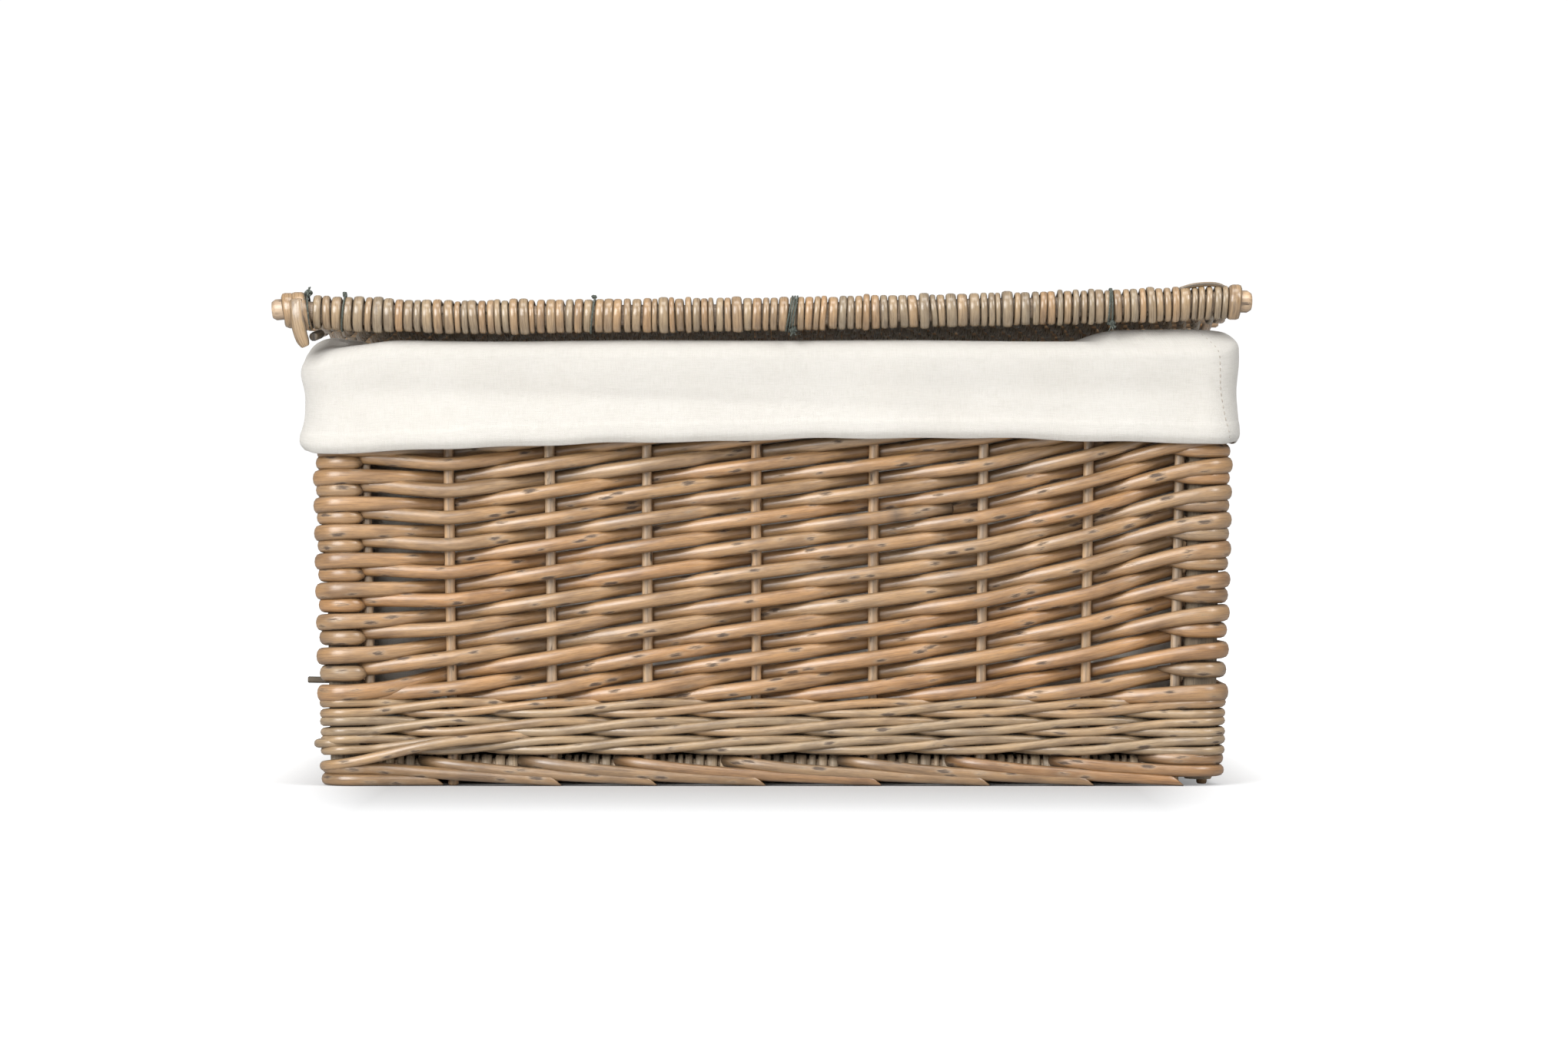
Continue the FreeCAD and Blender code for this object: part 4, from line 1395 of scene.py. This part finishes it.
def liner_surface():
    """All points of the liner band, as rows by places, and each point's place in the flat cloth."""
    rng = np.random.default_rng(21)
    ring, direction = outline(CUFF_HALF, CUFF_CORNER)
    distance = place_distance(ring)
    total = distance[-1] + 2.5
    hems = hem_height(ring) + 0.5 * waves(distance, (total / 9, total / 17, total / 31), rng)
    swell = waves(distance, (total / 7, total / 12, total / 23), rng)
    lower_swell = waves(distance, (total / 8, total / 15, total / 29), rng)
    ripple = waves(distance, (total / 37, total / 53), rng)
    sag = waves(distance, (total / 6, total / 11), rng)
    lengthwise = np.isin(PLACE_SIDES, (0, 2))
    to_corner = (1 - np.abs(PLACE_SHARES)) * np.where(lengthwise, CUFF_HALF[0], CUFF_HALF[1])
    straight = np.clip(to_corner / 30, 0, 1) ** 2 * (3 - 2 * np.clip(to_corner / 30, 0, 1))
    leftward, rightward = np.clip(-direction[:, 0], 0, 1) ** 2, np.clip(direction[:, 0], 0, 1) ** 2
    x, y = ring[:, 0], ring[:, 1]
    front = np.clip((60 - y) / 120, 0, 1)
    fold_share = np.clip((x - 164) / 20, 0, 1)
    fold_lift = front * 6.8 * fold_share ** 2 * (3 - 2 * fold_share)
    fold_lift += (1 - front) * 5.5 * np.clip((x - 180) / 40, 0, 1)
    fold_lift *= 1 - 0.6 * rightward
    lift = 4.6 * leftward * np.clip((y + 150) / 50, 0, 1) + 4.0 * rightward
    lift -= 4.8 * np.clip((-186 - x) / 28, 0, 1) * np.clip((-135 - y) / 25, 0, 1)
    crease_height = np.interp(x, (-200, -78, -4, 70, 169, 225), (196, 191.4, 188, 185.3, 182.8, 182))
    crease_depth = np.interp(x, (-205, -120, -60, 60, 160, 215), (0.1, 0.6, 1.2, 1.2, 0.7, 0.1))
    grid, flat = [], []
    run = 0.0
    last = None
    for set_back, z, radius, zone in liner_rows():
        points, direction = outline(CUFF_HALF - set_back, radius)
        if zone == "cuff":
            height = hems + (CUFF_TOP - hems) * z
            over_hem = height - hems
            push = -1.5 * np.exp(-(((height - 191) / 9) ** 2)) * (0.4 + 0.6 * straight)
            push += (1.4 + 3.0 * leftward - 1.1 * rightward) * np.exp(-(((over_hem - 4) / 10) ** 2))
            push += (3.1 * leftward + 0.7 * rightward) * np.exp(-(((height - 204) / 9) ** 2))
            push += (1.9 * leftward - 0.5 * rightward) * np.exp(-(((height - 188) / 12) ** 2))
            push += 0.7 * swell * z * straight + 0.8 * lower_swell * (1 - z)
            crease = crease_depth / (1 + np.exp(-(height - crease_height) / 1.5))
            push += crease * np.clip((212 - height) / 20, 0, 1)
            push += 0.3 * (over_hem < 9.5) - 1.9 * np.exp(-((over_hem / 2.0) ** 2))
            height = height + lift * z ** 2
        elif zone == "fold":
            height = z + 0.5 * sag * np.clip(set_back / 10, 0, 1) - 0.3
            height = height + lift * max(0.0, 1 - set_back / 40)
            risen = min(max((set_back - 2.5) / 8, 0.0), 1.0)
            height = height + fold_lift * risen * max(0.0, 1 - set_back / 60)
            push = (0.7 * swell * straight + 1.6 * leftward + 0.8 * rightward) * max(0.0, 1 - set_back / 8)
        else:
            depth = np.clip((208 - z) / 40, 0, 1)
            height = np.full(len(points), z)
            push = -(1.6 + 2.0 * swell * depth * straight + 1.2 * lower_swell * depth * straight)
            push = np.minimum(push - 0.9 * ripple * depth * straight, 0.2)
        points = points + direction * push[:, None]
        points[:, 2] = height
        if last is not None:
            run += float(np.linalg.norm(points - last, axis=1).mean())
        last = points
        grid.append(points)
        flat.append(np.stack([distance, np.full(len(distance), run), np.zeros(len(distance))], 1))
    return np.array(grid), np.array(flat)


def in_slit(centre, zone_rows, row):
    """Whether a face lies in one of the back cuff's slits for the hinge loops."""
    near = any(abs(centre[0] - place) < SLIT_HALF_WIDTH - 0.1 for place in LOOP_PLACES)
    return row < zone_rows and centre[1] > 100 and near


def cloth_object(name, verts, quads, flat):
    """Sheet of cotton; flat holds each face corner's place in the uncut cloth."""
    obj = mesh_object(name, verts, quads, [])
    add_attribute(obj, "cloth_co", "FLOAT_VECTOR", np.asarray(flat) * MM, "CORNER")
    solid = obj.modifiers.new("thickness", "SOLIDIFY")
    solid.thickness = CLOTH * MM
    solid.offset = 0.0
    smooth = obj.modifiers.new("smooth", "SUBSURF")
    smooth.levels = 1
    smooth.render_levels = 1
    obj.data.materials.append(COTTON)
    return obj


def build_liner():
    grid, flat = liner_surface()
    rows, columns = grid.shape[:2]
    zones = [row[3] for row in liner_rows()]
    slit_rows = len(zones) - zones[::-1].index("fold") - 1
    step = np.array([flat[0, 1, 0] - flat[0, 0, 0], 0, 0])
    quads, places = [], []
    for row in range(rows - 1):
        for column in range(columns):
            after = (column + 1) % columns
            corners = [(row, column), (row, after), (row + 1, after), (row + 1, column)]
            centre = np.mean([grid[corner] for corner in corners], 0)
            if in_slit(centre, slit_rows, row):
                continue
            quads.append([r * columns + c for r, c in corners])
            low, high = flat[row, column], flat[row + 1, column]
            places.append([low, low + step, high + step, high])
    used = np.unique(quads)
    renumbered = np.full(rows * columns, -1)
    renumbered[used] = np.arange(len(used))
    verts = grid.reshape(-1, 3)[used]
    band = cloth_object("cotton_liner_band", verts, renumbered[np.array(quads)], places)
    stitches = build_stitches(grid)
    nodes = [f"liner_wall_{side}" for side in SIDES]
    nodes += [f"liner_cuff_{part}" for part in ("front", "left", "right")]
    nodes += [f"liner_cuff_back_{part}" for part in ("left", "middle", "right")]
    settle(band, "basket", "liner_cotton", *nodes)


def build_stitches(grid):
    """Seam in the cuff at the front right corner, sewn with a running stitch."""
    rods = Rods("liner_seam_stitches", around=6)
    corner = np.nonzero((PLACE_SIDES == 0) & (PLACE_TURNS > 0))[0]
    seam = []
    for row in range(1, CUFF_ROWS + 6):
        share = row / (CUFF_ROWS + 1)
        place = corner[0] + np.interp(share, (0, 0.25, 0.6, 1, 1.15), (4.0, 2.9, 1.9, 1.6, 0.4))
        low = int(place)
        point = grid[row, low] * (1 - place + low) + grid[row, low + 1] * (place - low)
        seam.append(point)
    seam = refine(seam, 1.0)
    outward = unit(np.array([0.45, -1.0, 0]))
    for first in range(1, len(seam) - 3, 3):
        stitch = seam[first : first + 3] + outward * np.array([0.2, 0.62, 0.2])[:, None]
        rods.add(stitch, 0.2, 0.2, up=outward)
    return rods.build(COTTON_THREAD, "basket", "liner_cotton")


def build_liner_floor():
    rng = np.random.default_rng(5)
    columns, rows = 84, 62
    half = LINER_HALF - 1.6
    xs, ys = np.linspace(-1, 1, columns), np.linspace(-1, 1, rows)
    across, deep = np.meshgrid(xs, ys)
    x, y = across * half[0], deep * half[1]
    corner = 12.0
    over_x, over_y = np.abs(x) - (half[0] - corner), np.abs(y) - (half[1] - corner)
    reach = np.hypot(np.maximum(over_x, 0), np.maximum(over_y, 0))
    pull = np.where((over_x > 0) & (over_y > 0) & (reach > corner), corner / np.maximum(reach, 1e-6), 1.0)
    x = np.where(pull < 1, np.sign(x) * (half[0] - corner + over_x * pull), x)
    y = np.where(pull < 1, np.sign(y) * (half[1] - corner + over_y * pull), y)
    ripples = waves(x + 0.4 * y, (90, 57), rng) * 0.5 + waves(y - 0.3 * x, (110, 73), rng) * 0.5
    edge = np.clip((1 - np.maximum(np.abs(across), np.abs(deep))) * 8, 0, 1)
    z = LINER_FLOOR + 1.0 + (0.4 + 0.5 * ripples) * edge
    verts = np.stack([x + LINER_CENTRE, y, z], -1).reshape(-1, 3)
    flat = verts - verts.min(0)
    quads = []
    for row in range(rows - 1):
        start = row * columns
        for low in range(start, start + columns - 1):
            quads.append([low, low + 1, low + columns + 1, low + columns])
    floor = cloth_object("cotton_liner_floor", verts, quads, flat[np.array(quads)])
    settle(floor, "basket", "liner_cotton", "liner_floor")


build_uprights()
build_siding()
build_wale()
build_foot()
build_base()
build_rim_border()
build_corner_rods()
build_stub()
build_lid()
build_knots()
build_hinge_loops()
build_liner()
build_liner_floor()


# Camera, light and floor


def build_stage():
    """Pale floor with painted light: far from the basket it glows a little, so that it fades into the white
    background, and the glow fades out towards the basket, so the floor darkens there like a painted shadow.
    """
    size = 12.0
    verts = np.array([(-size, -size, 0), (size, -size, 0), (size, size, 0), (-size, size, 0)]) / MM
    floor = mesh_object("studio_floor", verts, [(0, 1, 2, 3)], [])
    material, tree, shader = new_material("studio floor")
    x, y = split(tree, add_node(tree, "ShaderNodeTexCoord").outputs["Object"])[:2]
    beside = calc(tree, "MULTIPLY", minus(tree, calc(tree, "ABSOLUTE", x), 0.18), 9.0, True)
    tones = [(0.2, 0.0), (0.3, 0.1), (0.4, 0.3), (0.5, 0.68), (0.6, 1.0)]
    before = ramp(tree, calc(tree, "ABSOLUTE", y), [(place, (tone,) * 3) for place, tone in tones])
    shade = times(tree, minus(tree, 1.0, beside), minus(tree, 1.0, before))
    # Painted light, seen only by the camera
    seen = add_node(tree, "ShaderNodeLightPath").outputs["Is Camera Ray"]
    glow = times(tree, seen, minus(tree, 1.0, shade))
    tree.links.new(glow, shader.inputs["Emission Color"])
    values = {"Emission Strength": 1.0, "Base Color": (0.5, 0.505, 0.51, 1), "Roughness": 0.9}
    set_inputs(shader, {**values, "Specular IOR Level": 0.1})
    floor.data.materials.append(material)


def area_light(name, place, target, size, watts):
    data = bpy.data.lights.new(name, "AREA")
    data.shape = "RECTANGLE"
    data.size, data.size_y = size
    data.energy = watts
    light = bpy.data.objects.new(name, data)
    bpy.context.scene.collection.objects.link(light)
    light.location = place
    aim = np.array(target) - np.array(place)
    light.rotation_mode = "QUATERNION"
    light.rotation_quaternion = Vector(aim).to_track_quat("-Z", "Y")


def build_lights():
    world = bpy.data.worlds.new("studio")
    bpy.context.scene.world = world
    world.use_nodes = True
    background = world.node_tree.nodes["Background"]
    background.inputs["Color"].default_value = (1, 1, 1, 1)
    seen = add_node(world.node_tree, "ShaderNodeLightPath").outputs["Is Camera Ray"]
    glow = plus(world.node_tree, times(world.node_tree, seen, 0.66), 0.38)
    world.node_tree.links.new(glow, background.inputs["Strength"])
    area_light("left_light", (-1.1, -1.85, 1.15), (0, -0.1, 0.12), (1.5, 1.6), 56)
    area_light("right_light", (1.3, -1.2, 1.5), (0, -0.1, 0.1), (0.9, 0.9), 21)
    area_light("top_light", (0.0, -0.5, 2.2), (0, -0.1, 0.1), (1.6, 0.8), 15)
    view = bpy.context.scene.view_settings
    view.view_transform = "Standard"
    view.look = "None"
    view.exposure = 0.0


def build_camera():
    distance = 2.4  # from the lid's front edge, in metres like everything here
    picture_width = 0.7568  # what the picture spans at the lid's front edge
    across, height = 0.0109, 0.128
    data = bpy.data.cameras.new("camera")
    data.sensor_width = 36.0
    data.lens = data.sensor_width * distance / picture_width
    camera = bpy.data.objects.new("camera", data)
    bpy.context.scene.collection.objects.link(camera)
    camera.location = (across, cad_low.y - distance, height)
    camera.rotation_euler = (math.pi / 2, 0, 0)
    bpy.context.scene.camera = camera


build_stage()
build_lights()
build_camera()
